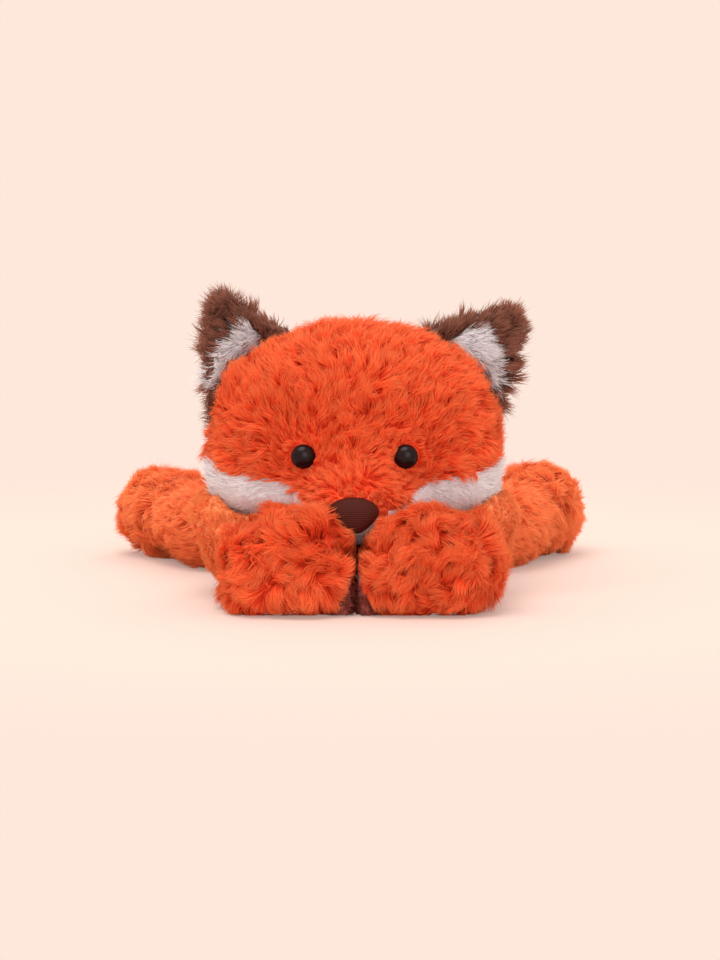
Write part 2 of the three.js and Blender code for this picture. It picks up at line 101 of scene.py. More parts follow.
class FoxColours(bpy.types.PropertyGroup):
    # The roots' colours are painted shade in the depth of each pile, and the orange tips' colour is partly the
    # pile's own and partly painted highlight
    orange_tip_highlight: colour_property("Orange tips", "Ends of the long orange pile", "ff965a")
    orange: colour_property("Orange", "Middle of the long orange pile", "fa6130")
    orange_root_shade: colour_property("Orange roots", "Depth of the long orange pile", "ee4a26")
    # The hind legs' pile is the orange pile painted paler and brighter: painted light for the stronger light that
    # falls on the hind legs
    hind: colour_property("Hind legs", "Paler long pile of the hind legs", "ff9058")
    sleeve: colour_property("Sleeve", "Clipped pile of the sleeves", "ffa468")
    sleeve_root_shade: colour_property("Sleeve roots", "Depth of the clipped pile", "f08048")
    white: colour_property("White", "Cheeks, chin, ear linings, belly and tail tip", "f6f6f8")
    white_root_shade: colour_property("White roots", "Depth of the white pile", "e6e0e2")
    brown: colour_property("Brown", "Backs and rims of the ears", "845848")
    brown_root_shade: colour_property("Brown roots", "Depth of the brown pile", "38201a")
    sole: colour_property("Soles", "Short pile under the paws", "b05e52")
    nose: colour_property("Nose", "Woven fabric of the nose", "461710")
    eye: colour_property("Eyes", "Moulded eyes", "1a0c0e")
    filling: colour_property("Filling", "Loose polyester fibre", "f2efe8")
    bag: colour_property("Pellet bag", "Cloth bag in the belly", "d9d4c8")
    washer: colour_property("Washers", "Moulded washers behind the eyes", "e8e6df")
    backdrop: colour_property("Backdrop", "Floor and backdrop", "fee8db")


class FoxSizes(bpy.types.PropertyGroup):
    long_pile: length_property("Long pile", "Length of the curly pile", 11)
    head_pile: length_property("Head pile", "Length of the pile on the head", 10.5)
    short_pile: length_property("Short pile", "Length of the clipped pile", 4.2)
    white_pile: length_property("White pile", "Length of the white pile", 8)
    ear_pile: length_property("Ear pile", "Length of the shaggy pile on the ears", 10)
    strand: length_property("Strand width", "Width of a strand, drawn a little thick so that it shows", 0.46)
    density: FloatProperty(name="Density", description="Share of the full number of strands", default=1,
                           min=0.05, max=2)
    fabric: length_property("Fabric", "Thickness of the backing cloth", 0.8)
    pressure: FloatProperty(name="Stuffing pressure", description="How hard the filling swells the covers",
                            default=4, min=0)
    swell: length_property("Swell", "The most that the filling swells a cover", 3)
    seed: IntProperty(name="Seed", description="Picks where the strands stand", default=7, min=0)


class FoxStage(bpy.types.PropertyGroup):
    key: power_property("Key light", "Power of the large soft lamp", 40)
    fill: power_property("Fill light", "Power of the front lamp", 38)
    back: power_property("Back light", "Power of the lamp behind", 9)
    sky: FloatProperty(name="Surround", description="Strength of the even light all round", default=0.8, min=0)
    lens: FloatProperty(name="Lens", description="Focal length on a 36 mm sensor", default=123.2, min=1,
                        subtype="DISTANCE_CAMERA")


def colours():
    return bpy.context.scene.fox_colours


def sizes():
    return bpy.context.scene.fox_sizes


def put(tree, kind, settings=None, **inputs):
    """Adds a node. An input takes a number, a colour or another node's output, and the setting called
    stops takes a colour ramp's pairs of place and colour."""
    node = tree.nodes.new(kind)
    for name, value in (settings or {}).items():
        if name != "stops":
            setattr(node, name, value)
            continue
        elements = node.color_ramp.elements
        for i, (place, colour) in enumerate(value):
            element = elements[i] if i < len(elements) else elements.new(place)
            element.position = place
            element.color = (*colour, 1)
    for name, value in inputs.items():
        socket = node.inputs[int(name[1:]) if name[0] == "i" and name[1:].isdigit() else name.replace("_", " ")]
        if isinstance(value, bpy.types.NodeSocket):
            tree.links.new(value, socket)
        elif hasattr(value, "__len__"):
            socket.default_value = (*value, 1) if len(value) == 3 and socket.type == "RGBA" else value
        else:
            socket.default_value = value
    return node


def new_material(name):
    """A new material, as (material, its empty tree)."""
    material = bpy.data.materials.new(name)
    material.use_nodes = True
    material.node_tree.nodes.clear()
    return material, material.node_tree


def spots(millimetres):
    """The scale of a noise or cell texture with spots about so wide."""
    return 1 / (millimetres * MM)


def bands(millimetres):
    """The scale of a wave texture with bands so far apart along X, Y or Z."""
    return math.tau / (20 * millimetres * MM)


def tinted(colour, share):
    """A colour, darker or brighter."""
    return tuple(min(c * share, 1) for c in colour)


def pile_material(name, root, middle, tip, sheen=0.2, through=0.48, least=0.84):
    """Polyester plush pile, knitted and brushed. Along each strand the colour runs from the root colour, which is
    painted shade in the pile's depth on top of the shade that the strands cast, to a brighter, paler tip colour,
    which is partly the fibres' own and partly painted highlight. Some strands are lighter than others at random.
    Light that comes through the fibres keeps its depth soft."""
    material, tree = new_material(name)
    along = put(tree, "ShaderNodeAttribute", {"attribute_name": "along"}).outputs["Fac"]
    shade = put(tree, "ShaderNodeAttribute", {"attribute_name": "shade"}).outputs["Fac"]
    # Root to tip: painted shade at the root, partly painted highlight at the tip
    depth = put(tree, "ShaderNodeValToRGB", {"stops": ((0, root), (0.45, middle), (1, tip))}, Fac=along)
    lift = put(tree, "ShaderNodeValToRGB", {"stops": ((0, (least, least, least)), (1, (1, 1, 1)))}, Fac=shade)
    colour = put(tree, "ShaderNodeMix", {"data_type": "RGBA", "blend_type": "MULTIPLY"}, i0=1.0,
                 i6=depth.outputs[0], i7=lift.outputs[0]).outputs[2]
    fibre = put(tree, "ShaderNodeBsdfPrincipled", Base_Color=colour, Roughness=0.6, Sheen_Weight=sheen,
                Sheen_Roughness=0.4, Sheen_Tint=tip, Specular_IOR_Level=0.2)
    passed = put(tree, "ShaderNodeBsdfTranslucent", Color=colour)
    both = put(tree, "ShaderNodeMixShader", i0=through, i1=fibre.outputs[0], i2=passed.outputs[0])
    put(tree, "ShaderNodeOutputMaterial", Surface=both.outputs[0])
    return material


def knit_material(name, colour, dark):
    """Knitted polyester backing under the pile: a matt, fuzzy face with diagonal ribs. The real ribs are
    about a millimetre apart, and are drawn 4 mm apart so that they show between the strands."""
    material, tree = new_material(name)
    place = put(tree, "ShaderNodeTexCoord").outputs["Object"]
    # Diagonal bands of the same scale stand 2 / sqrt(3) as far apart as straight ones
    ribs = put(tree, "ShaderNodeTexWave", {"bands_direction": "DIAGONAL"}, Vector=place,
               Scale=bands(3.99) * 2 / math.sqrt(3), Distortion=3.0, Detail=2.0)
    fuzz = put(tree, "ShaderNodeTexNoise", Vector=place, Scale=spots(2.38), Detail=4.0).outputs["Fac"]
    height = put(tree, "ShaderNodeMath", {"operation": "ADD"}, i0=ribs.outputs["Fac"], i1=fuzz)
    bump = put(tree, "ShaderNodeBump", Height=height.outputs[0], Distance=0.4 * MM, Strength=0.8)
    tone = put(tree, "ShaderNodeValToRGB", {"stops": ((0.3, dark), (0.75, colour))}, Fac=fuzz)
    knit = put(tree, "ShaderNodeBsdfPrincipled", Base_Color=tone.outputs[0], Normal=bump.outputs[0],
               Roughness=0.9, Sheen_Weight=0.2, Specular_IOR_Level=0.2)
    put(tree, "ShaderNodeOutputMaterial", Surface=knit.outputs[0])
    return material


def filling_material(colour):
    """Loose polyester fibre: bright white, matt, in soft lumps a few millimetres wide."""
    material, tree = new_material("polyester_filling")
    place = put(tree, "ShaderNodeTexCoord").outputs["Object"]
    lumps = put(tree, "ShaderNodeTexVoronoi", Vector=place, Scale=spots(6.25))
    fibres = put(tree, "ShaderNodeTexNoise", Vector=place, Scale=spots(1.11), Detail=6.0,
                 Distortion=2.0).outputs["Fac"]
    height = put(tree, "ShaderNodeMix", {"data_type": "RGBA"}, i0=0.5, i6=lumps.outputs["Distance"], i7=fibres)
    bump = put(tree, "ShaderNodeBump", Height=height.outputs[2], Distance=1.5 * MM)
    tone = put(tree, "ShaderNodeValToRGB", {"stops": ((0.3, tinted(colour, 0.8)), (0.7, colour))}, Fac=fibres)
    wool = put(tree, "ShaderNodeBsdfPrincipled", Base_Color=tone.outputs[0], Normal=bump.outputs[0],
               Roughness=0.95, Sheen_Weight=0.3)
    put(tree, "ShaderNodeOutputMaterial", Surface=wool.outputs[0])
    return material


def weave_material(name, colour, thread, roughness, across=1.0):
    """Plain woven cloth: raised threads a fraction of a millimetre apart, drawn coarse enough to show.
    thread is how far apart they are drawn, in millimetres, and across how much the upright ones show."""
    material, tree = new_material(name)
    place = put(tree, "ShaderNodeTexCoord").outputs["Object"]
    rows = put(tree, "ShaderNodeTexWave", {"bands_direction": "Z"}, Vector=place, Scale=bands(thread),
               Distortion=2.4, Detail=2.0, Detail_Scale=2.0).outputs["Fac"]
    ends = put(tree, "ShaderNodeTexWave", {"bands_direction": "X"}, Vector=place, Scale=bands(thread),
               Distortion=1.2, Detail=1.0).outputs["Fac"]
    height = put(tree, "ShaderNodeMix", {"data_type": "RGBA"}, i0=0.5 * across, i6=rows, i7=ends)
    bump = put(tree, "ShaderNodeBump", Height=height.outputs[2], Distance=0.3 * MM, Strength=0.7)
    # The colour darkens where each row of threads dips, as its bump does: painted shade in the gaps between the
    # threads
    tone = put(tree, "ShaderNodeValToRGB", {"stops": ((0.1, tinted(colour, 0.72)), (0.8, colour))}, Fac=rows)
    cloth = put(tree, "ShaderNodeBsdfPrincipled", Base_Color=tone.outputs[0], Normal=bump.outputs[0],
                Roughness=roughness, Specular_IOR_Level=0.12)
    put(tree, "ShaderNodeOutputMaterial", Surface=cloth.outputs[0])
    return material


def moulded_material(name, colour, roughness):
    """Injection-moulded plastic: even colour with the faintest cloud, smooth, and clear highlights."""
    material, tree = new_material(name)
    place = put(tree, "ShaderNodeTexCoord").outputs["Object"]
    cloud = put(tree, "ShaderNodeTexNoise", Vector=place, Scale=spots(5.56), Detail=3.0).outputs["Fac"]
    bump = put(tree, "ShaderNodeBump", Height=cloud, Distance=0.04 * MM, Strength=0.4)
    tone = put(tree, "ShaderNodeValToRGB", {"stops": ((0.3, tinted(colour, 0.85)), (0.7, colour))}, Fac=cloud)
    plastic = put(tree, "ShaderNodeBsdfPrincipled", Base_Color=tone.outputs[0], Normal=bump.outputs[0],
                  Roughness=roughness, Specular_IOR_Level=0.16)
    put(tree, "ShaderNodeOutputMaterial", Surface=plastic.outputs[0])
    return material


MATERIALS = {}


def material(name):
    """The fox's materials, made once."""
    if not MATERIALS:
        c = colours()
        MATERIALS.update(
            # Each pile's root colour is painted shade in its depth, and its brighter tip colour, twice the brown
            # on the ears, is partly painted highlight
            orange=pile_material("orange_plush_pile", c.orange_root_shade, c.orange, c.orange_tip_highlight),
            # A brighter copy of the orange pile with fewer darker strands: painted light on the hind legs
            hind=pile_material("orange_plush_pile_painted_lit", tinted(c.hind, 0.92), c.hind, tinted(c.hind, 1.25),
                               sheen=0.5, through=0.36, least=0.94),
            sleeve=pile_material("clipped_orange_pile", c.sleeve_root_shade, c.sleeve, c.sleeve),
            white=pile_material("white_plush_pile", c.white_root_shade, c.white, c.white, least=0.96),
            brown=pile_material("brown_shaggy_pile", c.brown_root_shade, c.brown, tinted(c.brown, 2.0)),
            sole=pile_material("brown_short_pile", tinted(c.sole, 0.6), c.sole, c.sole),
            orange_knit=knit_material("orange_knit_backing", tinted(c.orange, 0.95),
                                      tinted(c.orange_root_shade, 0.85)),
            sleeve_knit=knit_material("clipped_knit_backing", tinted(c.sleeve, 0.88),
                                      tinted(c.sleeve_root_shade, 0.88)),
            white_knit=knit_material("white_knit_backing", c.white, c.white_root_shade),
            brown_knit=knit_material("brown_knit_backing", c.brown, c.brown_root_shade),
            sole_knit=knit_material("sole_knit_backing", c.sole, tinted(c.sole, 0.6)),
            filling=filling_material(c.filling),
            bag=weave_material("cotton_pellet_bag", c.bag, 0.8, 0.85),
            nose=weave_material("satin_woven_nose", c.nose, 1.0, 0.6, across=0.25),
            eye=moulded_material("polished_acrylic_eye", c.eye, 0.24),
            washer=moulded_material("matt_polyethylene_washer", c.washer, 0.45),
        )
    return MATERIALS[name]


def unit(vectors):
    """Vectors at length 1."""
    return vectors / np.maximum(np.linalg.norm(vectors, axis=-1, keepdims=True), 1e-12)


def ease(values, low, high):
    """0 below low, 1 above high and smooth between them."""
    t = np.clip((np.asarray(values, float) - low) / (high - low), 0, 1)
    return t * t * (3 - 2 * t)


def drift(points, size, seed):
    """A smooth random direction at each point, which changes over about size."""
    rng = np.random.default_rng(seed)
    total = np.zeros((len(points), 3))
    for _ in range(8):
        wave = unit(rng.normal(size=3)) * math.tau / size * rng.uniform(0.5, 1.2)
        total += np.sin(points @ wave + rng.uniform(0, math.tau))[:, None] * unit(rng.normal(size=3))
    return total / 2


def read_points(mesh):
    points = np.empty(len(mesh.vertices) * 3, np.float32)
    mesh.vertices.foreach_get("co", points)
    return points.reshape(-1, 3).astype(float)


def read_triangles(mesh):
    """The triangles of a mesh and the face that each comes from."""
    mesh.calc_loop_triangles()
    corners = np.empty(len(mesh.loop_triangles) * 3, np.int32)
    mesh.loop_triangles.foreach_get("vertices", corners)
    faces = np.empty(len(mesh.loop_triangles), np.int32)
    mesh.loop_triangles.foreach_get("polygon_index", faces)
    return corners.reshape(-1, 3), faces


def read_edges(mesh):
    edges = np.empty(len(mesh.edges) * 2, np.int32)
    mesh.edges.foreach_get("vertices", edges)
    return edges.reshape(-1, 2)


def write_points(mesh, points):
    """Moves a mesh's points."""
    mesh.vertices.foreach_set("co", points.astype(np.float32).ravel())
    mesh.update()


def mesh_of(work, name):
    """A bmesh as a new mesh. It frees the bmesh."""
    mesh = bpy.data.meshes.new(name)
    work.to_mesh(mesh)
    work.free()
    return mesh


def finder_of(points):
    """A search tree over points."""
    finder = KDTree(len(points))
    for i, p in enumerate(points):
        finder.insert(p, i)
    finder.balance()
    return finder


def vertex_normals(points, triangles):
    """The way out of a mesh at each of its points."""
    corners = points[triangles]
    across = np.cross(corners[:, 1] - corners[:, 0], corners[:, 2] - corners[:, 0])
    total = np.zeros_like(points)
    for k in range(3):
        np.add.at(total, triangles[:, k], across)
    return unit(total)


def smoothed(values, edges, rounds, share=0.5):
    """Values at a mesh's points, evened out with their neighbours."""
    values = np.array(values, float)
    count = np.bincount(edges.ravel(), minlength=len(values)).astype(float)
    for _ in range(rounds):
        total = np.zeros_like(values)
        np.add.at(total, edges[:, 0], values[edges[:, 1]])
        np.add.at(total, edges[:, 1], values[edges[:, 0]])
        mean = total / (count[:, None] if values.ndim == 2 else count)
        values += share * (mean - values)
    return values


def placed(name, mesh, materials=()):
    """An object of a mesh, in the scene."""
    obj = bpy.data.objects.new(name, mesh)
    bpy.context.scene.collection.objects.link(obj)
    for item in materials:
        mesh.materials.append(item)
    return obj


def shaded(mesh):
    """The mesh with smooth shading."""
    mesh.polygons.foreach_set("use_smooth", np.ones(len(mesh.polygons), bool))
    mesh.update()
    return mesh


def evaluated(obj):
    """The object's mesh with its modifiers applied, as a new mesh."""
    graph = bpy.context.evaluated_depsgraph_get()
    graph.update()
    return bpy.data.meshes.new_from_object(obj.evaluated_get(graph), depsgraph=graph)


def with_modifier(mesh, kind, **settings):
    """A mesh after one modifier."""
    obj = placed("work", mesh)
    modifier = obj.modifiers.new("work", kind)
    for name, value in settings.items():
        setattr(modifier, name, value)
    result = evaluated(obj)
    bpy.data.objects.remove(obj)
    return result


def joined_nodes(nodes):
    """Copies of CAD nodes as one mesh."""
    joined = bmesh.new()
    for node in nodes:
        joined.from_mesh(NODES[node].data)
    return mesh_of(joined, "joined")


def largest_island(mesh):
    """The mesh without the small bubbles that the gaps between panels leave inside it."""
    work = bmesh.new()
    work.from_mesh(mesh)
    left, islands = set(work.verts), []
    while left:
        stack, island = [left.pop()], []
        while stack:
            vertex = stack.pop()
            island.append(vertex)
            for edge in vertex.link_edges:
                other = edge.other_vert(vertex)
                if other in left:
                    left.remove(other)
                    stack.append(other)
        islands.append(island)
    islands.sort(key=len)
    for island in islands[:-1]:
        bmesh.ops.delete(work, geom=island, context="VERTS")
    work.to_mesh(mesh)
    work.free()
    return mesh


def tree_of(nodes):
    """A search tree over the surfaces of CAD nodes."""
    points, corners, start = [], [], 0
    for node in nodes:
        data = NODES[node].data
        triangles, _ = read_triangles(data)
        points.append(read_points(data))
        corners.append(triangles + start)
        start += len(data.vertices)
    return BVHTree.FromPolygons(np.vstack(points).tolist(), np.vstack(corners).tolist())


def distances(tree, points):
    """How far points are from a search tree's surfaces."""
    return np.array([tree.find_nearest(Vector(p))[3] for p in points])


def puffed(mesh, pinned):
    """The cover after its filling has pressed it out, with its seams and resting faces held."""
    obj = placed("puffed", mesh)
    group = obj.vertex_groups.new(name="held")
    group.add([int(i) for i in np.flatnonzero(pinned)], 1.0, "REPLACE")
    cloth = obj.modifiers.new("cloth", "CLOTH")
    cloth.settings.quality = 4
    cloth.settings.mass = 0.2
    cloth.settings.tension_stiffness = 12
    cloth.settings.compression_stiffness = 12
    cloth.settings.bending_stiffness = 0.6
    cloth.settings.use_pressure = True
    cloth.settings.uniform_pressure_force = sizes().pressure
    cloth.settings.vertex_group_mass = "held"
    cloth.settings.effector_weights.gravity = 0
    cloth.point_cache.frame_start = 1
    cloth.point_cache.frame_end = SWELL_FRAMES
    for step in range(1, SWELL_FRAMES + 1):
        bpy.context.scene.frame_set(step)
    result = evaluated(obj)
    before, after = read_points(mesh), read_points(result)
    move = after - before
    far = np.linalg.norm(move, axis=1, keepdims=True)
    move *= np.minimum(far, sizes().swell) / np.maximum(far, 1e-9)
    bpy.data.objects.remove(obj)
    bpy.context.scene.frame_set(1)
    return before + move


class Skin:
    """The sewn cover of one body: where its backing cloth lies, which panel each face is in, and how
    much room its pile has."""

    def __init__(self, body, inner, voxel, inset, ignore=(), seat=None, swell=True, lumps=0.0):
        members = [n for n, b in BODY_OF.items() if b == body]
        self.body = body
        self.panels = [n for n in members if n not in inner]
        others = [n for n, b in BODY_OF.items() if b != body and b not in ignore]
        mesh = with_modifier(joined_nodes(members), "REMESH", mode="VOXEL", voxel_size=voxel)
        mesh = largest_island(mesh)
        edges = read_edges(mesh)
        triangles, _ = read_triangles(mesh)
        outer = smoothed(read_points(mesh), edges, 8)
        panel_trees = [tree_of([n]) for n in self.panels]
        panel = np.argmin([distances(t, outer) for t in panel_trees], axis=0)
        others_tree = tree_of(others)
        # 0 where another part or the floor presses on the cover, 1 where nothing does
        free = ease(distances(others_tree, outer), 1.8 * MM, 5.0 * MM) * ease(outer[:, 2], 1.0 * MM, 5 * MM)
        depth = np.array([inset[n] * MM for n in self.panels])[panel]
        depth = smoothed(SEAM_DEPTH + (depth - SEAM_DEPTH) * free, edges, 3)
        if seat is not None:
            depth = seat(outer, depth, vertex_normals(outer, triangles), free)
        if lumps:
            depth = depth + lumps * MM * free * drift(outer, 26 * MM, len(outer))[:, 0]
        low = outer[:, 2] < 0.9 * MM
        points, rounds = outer, 5
        for _ in range(rounds):
            points = points - vertex_normals(points, triangles) * depth[:, None] / rounds
            points = smoothed(points, edges, 1, 0.3)
        points[low, 2] = FLOOR_GAP
        write_points(mesh, points)
        if swell:
            seam = np.zeros(len(points), bool)
            crossing = panel[edges[:, 0]] != panel[edges[:, 1]]
            seam[edges[crossing].ravel()] = True
            points = puffed(mesh, seam | (free < 0.5))
            write_points(mesh, points)
        finder = finder_of(points)
        self.coarse = mesh.copy()
        self.mesh = with_modifier(mesh, "SUBSURF", levels=1, render_levels=1)
        self.points = read_points(self.mesh)
        self.points[:, 2] = np.maximum(self.points[:, 2], FLOOR_GAP)
        write_points(self.mesh, self.points)
        self.triangles, self.face_of = read_triangles(self.mesh)
        self.normals = vertex_normals(self.points, self.triangles)
        self.face_panel = np.array([panel[finder.find(p)[1]] for p in self.centres().tolist()])
        self.room = distances(others_tree, self.points)

    def centres(self):
        """The middles of the cloth's faces."""
        centres = np.empty(len(self.mesh.polygons) * 3, np.float32)
        self.mesh.polygons.foreach_get("center", centres)
        return centres.reshape(-1, 3)

    def moved(self, change):
        """Moves the cloth's points before its pieces are cut from it."""
        self.points = self.points + change
        self.points[:, 2] = np.maximum(self.points[:, 2], FLOOR_GAP)
        write_points(self.mesh, self.points)
        self.normals = vertex_normals(self.points, self.triangles)

    def turn_up(self, node, other, where):
        """Gives a part of one panel to another, as where a cover wraps round under an edge."""
        taken = (self.face_panel == self.panels.index(node)) & where(self.centres())
        self.face_panel[taken] = self.panels.index(other)

    def cloth(self, node, name, finish):
        """The panel's backing cloth as a closed piece of its real thickness."""
        index = self.panels.index(node)
        work = bmesh.new()
        work.from_mesh(self.mesh)
        work.faces.ensure_lookup_table()
        drop = [f for f in work.faces if self.face_panel[f.index] != index]
        bmesh.ops.delete(work, geom=drop, context="FACES")
        solid = with_modifier(mesh_of(work, name), "SOLIDIFY", thickness=sizes().fabric, offset=-1)
        solid.name = name
        obj = placed(name, shaded(solid), [material(finish)])
        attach(obj, self.body)
        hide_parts(node)
        return obj

    def filling(self, name, node):
        """The stuffing, as the form just inside the cloth. Where a sharp fold of the cloth would let it
        through, it draws back towards its middle."""
        mesh = self.coarse
        edges = read_edges(mesh)
        points = smoothed(read_points(mesh), edges, 4)
        triangles, _ = read_triangles(mesh)
        # How far in from the cloth's inner face it stands, the least that it may, and a round's step back
        gap, least, back = 1.4 * MM, 0.9 * MM, 0.8 * MM
        points -= vertex_normals(points, triangles) * (sizes().fabric + gap)
        cloth = BVHTree.FromPolygons(self.points.tolist(), self.triangles.tolist())
        for _ in range(8):
            spots = np.vstack([points, points[triangles].mean(1)])
            found = [cloth.find_nearest(Vector(p))[:2] for p in spots]
            inside = np.array([(place - Vector(p)).dot(normal) for (place, normal), p in zip(found, spots)])
            shallow = inside < sizes().fabric + least
            near = shallow[:len(points)]
            near[triangles[shallow[len(points):]].ravel()] = True
            points[near] = smoothed(points, edges, 1)[near] + unit(points.mean(0) - points[near]) * back
        write_points(mesh, points)
        mesh.name = name
        obj = placed(name, shaded(mesh), [material("filling")])
        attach(obj, self.body)
        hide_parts(node)
        return obj


def strand_mesh(name, rings, widths, normals, along, shade):
    """Tapered blades: rings is strands x rings x 3, with the last ring as the tip."""
    count, steps = rings.shape[:2]
    tangent = unit(np.gradient(rings, axis=1))
    side = unit(np.cross(tangent, normals[:, None, :]))
    rng = np.random.default_rng(count)
    roll = rng.normal(0, 0.45, (count, 1, 1))
    side = side * np.cos(roll) + np.cross(side, tangent) * np.sin(roll)
    half = side * (widths / 2)[..., None]
    pairs = np.stack([rings - half, rings + half], axis=2)[:, :-1].reshape(count, -1, 3)
    points = np.concatenate([pairs, rings[:, -1:]], axis=1)
    points[..., 2] = np.maximum(points[..., 2], PILE_FLOOR)
    per = 2 * (steps - 1) + 1
    quads = [[2 * k, 2 * k + 1, 2 * k + 3, 2 * k + 2] for k in range(steps - 2)]
    pattern = np.array([*sum(quads, []), per - 3, per - 2, per - 1])
    totals = np.array([4] * (steps - 2) + [3])
    loops = (pattern[None] + np.arange(count)[:, None] * per).ravel()
    mesh = bpy.data.meshes.new(name)
    mesh.vertices.add(count * per)
    mesh.vertices.foreach_set("co", points.astype(np.float32).ravel())
    mesh.loops.add(len(loops))
    mesh.loops.foreach_set("vertex_index", loops.astype(np.int32))
    all_totals = np.tile(totals, count)
    mesh.polygons.add(len(all_totals))
    starts = np.concatenate([[0], np.cumsum(all_totals)[:-1]])
    mesh.polygons.foreach_set("loop_start", starts.astype(np.int32))
    mesh.update(calc_edges=True)
    for key, values in (("along", along), ("shade", shade)):
        attribute = mesh.attributes.new(key, "FLOAT", "POINT")
        full = np.broadcast_to(values, (count, steps))
        spread = np.concatenate([np.repeat(full[:, :-1], 2, axis=1), full[:, -1:]], axis=1)
        attribute.data.foreach_set("value", spread.astype(np.float32).ravel())
    cells = math.ceil(math.sqrt(count))
    index = np.arange(count)
    across = np.concatenate([np.tile([0.15, 0.85], steps - 1), [0.5]])
    up_cell = np.concatenate([np.repeat(np.linspace(0.1, 0.9, steps)[:-1], 2), [0.9]])
    u = ((index % cells)[:, None] + across[None]) / cells
    v = ((index // cells)[:, None] + up_cell[None]) / cells
    layer = mesh.uv_layers.new(name="OFBake")
    uv = np.stack([u, v], axis=-1).reshape(-1, 2)[loops]
    layer.data.foreach_set("uv", uv.astype(np.float32).ravel())
    return shaded(mesh)


def grow(name, skin, nodes, finish, slot, count, length, flow, seed, lean=(20, 65), curl=0.9, lock=3.2,
         tuft=11.0, wild=0.55, swirl=0.6, gather=0.7, steps=5, width=1.0, keep=None, clear=None, trim=None,
         uneven=0.16, fit=True):
    """Pile over some panels of a skin. Strands stand in locks, and locks lean together in tufts. The pile
    lies flat where another part presses on it.

    length is the strand's length, lean its tilt at the root and at the end in degrees, curl how far it
    curls in millimetres, lock and tuft how far apart these are in millimetres, wild and swirl how much
    each turns from the flow, gather how far a lock's strands close up at their ends, and uneven how much
    the lengths differ. keep picks the roots, clear the strands, and trim shortens them."""
    settings = sizes()
    rng = np.random.default_rng(settings.seed * 1000 + seed)
    wanted = np.isin(skin.face_panel[skin.face_of], [skin.panels.index(n) for n in nodes])
    triangles = skin.triangles[wanted]
    corners = skin.points[triangles]
    area = np.linalg.norm(np.cross(corners[:, 1] - corners[:, 0], corners[:, 2] - corners[:, 0]), axis=1) / 2
    share = settings.density * 1
    pick = rng.choice(len(triangles), int(count * share), p=area / area.sum())
    a, b = rng.random((2, len(pick)))
    flip = a + b > 1
    a[flip], b[flip] = 1 - a[flip], 1 - b[flip]
    weights = np.stack([1 - a - b, a, b], axis=1)[..., None]
    root = (corners[pick] * weights).sum(1)
    normal = unit((skin.normals[triangles[pick]] * weights).sum(1))
    room = (skin.room[triangles[pick]] * weights[..., 0]).sum(1)
    stay = (room > 0.5 * MM) & ~((root[:, 2] < 1.2 * MM) & (normal[:, 2] < -0.8))
    if keep is not None:
        stay &= keep(root, normal)
    root, normal, room = root[stay], normal[stay], room[stay]
    total = len(root)

    def grouped(points, apart):
        """Random centres about so far apart, and the nearest one to each point."""
        wanted_count = max(3, int(area.sum() / (apart * MM) ** 2))
        chosen = rng.choice(total, min(wanted_count, total), replace=False)
        finder = finder_of(root[chosen])
        return chosen, np.array([finder.find(p)[1] for p in points])

    lock_at, lock_of = grouped(root, lock)
    tuft_at, tuft_of = grouped(root[lock_at], tuft)
    centre, up = root[lock_at], normal[lock_at]
    turn = unit(rng.normal(size=(len(tuft_at), 3)))[tuft_of]
    way = unit(flow(centre, up)) + swirl * turn + wild * unit(rng.normal(size=up.shape))
    way = unit(way - (way * up).sum(1, keepdims=True) * up)
    tall = (rng.uniform(1 - uneven, 1 + uneven, len(tuft_at))[tuft_of]
            * rng.uniform(1 - uneven, 1 + uneven, len(up)))
    phase = rng.uniform(0, math.tau, len(up))
    tone = np.clip(0.5 + 0.22 * rng.normal(size=len(up))
                   + 0.12 * rng.normal(size=len(tuft_at))[tuft_of], 0, 1)

    own_way = way[lock_of] + 0.16 * rng.normal(size=root.shape)
    own_way = unit(own_way - (own_way * normal).sum(1, keepdims=True) * normal)
    side = np.cross(normal, own_way)
    reach = length * tall[lock_of] * rng.uniform(0.82, 1.08, total)
    if fit:
        reach = np.minimum(reach, np.maximum(room * 1.05, 2 * MM))
    if trim is not None:
        reach *= trim(root)
    at = np.linspace(0, 1, steps)
    start, end = (math.radians(x) for x in lean)
    tilt = start + (end - start) * at[None] + 0.12 * rng.normal(size=(total, 1))
    step = np.diff(at, prepend=0)[None] * reach[:, None]
    pressed = np.clip(room / (1.8 * MM), 0.2, 1)[:, None, None]
    rise = np.cumsum(np.cos(tilt) * step, axis=1)[..., None] * pressed
    ahead = np.cumsum(np.sin(tilt) * step, axis=1)[..., None]
    spin = math.tau * 0.75 * at[None] + phase[lock_of][:, None]
    radius = curl * MM * (reach / length)[:, None]
    sway = ((np.cos(spin) - np.cos(spin[:, :1])) * radius)[..., None]
    heave = ((np.sin(spin) - np.sin(spin[:, :1])) * radius * 0.6 * at[None])[..., None]
    rings = (root[:, None] + normal[:, None] * (rise + heave) + own_way[:, None] * ahead + side[:, None] * sway)
    rings -= (root - centre[lock_of])[:, None] * (gather * at[None, :, None] ** 1.2)
    rings[:, 0] -= normal * 0.3 * MM
    # Strands that would go under the floor lie on it
    low = rings[..., 2] < 0.6 * MM
    rings[..., 2] = np.where(low, 0.35 * MM + 0.25 * MM * rng.random(rings.shape[:2]), rings[..., 2])
    tone = tone[lock_of]
    if clear is not None:
        stay = clear(rings)
        rings, normal, tone = rings[stay], normal[stay], tone[stay]
        total = len(rings)
    taper = np.interp(at, [0, 0.6, 1], [1, 0.8, 0])
    widths = settings.strand * width * rng.uniform(0.75, 1.25, (total, 1)) * taper[None]
    shade = np.clip(tone + 0.14 * rng.normal(size=total), 0, 1)[:, None]
    mesh = strand_mesh(name, rings, widths, normal, at[None], shade)
    obj = placed(name, mesh, [material(finish)])
    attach(obj, skin.body)
    return obj


def along(*direction):
    """A flow that leads one way everywhere."""
    return lambda places, normals: np.tile(np.array(direction, float), (len(places), 1))


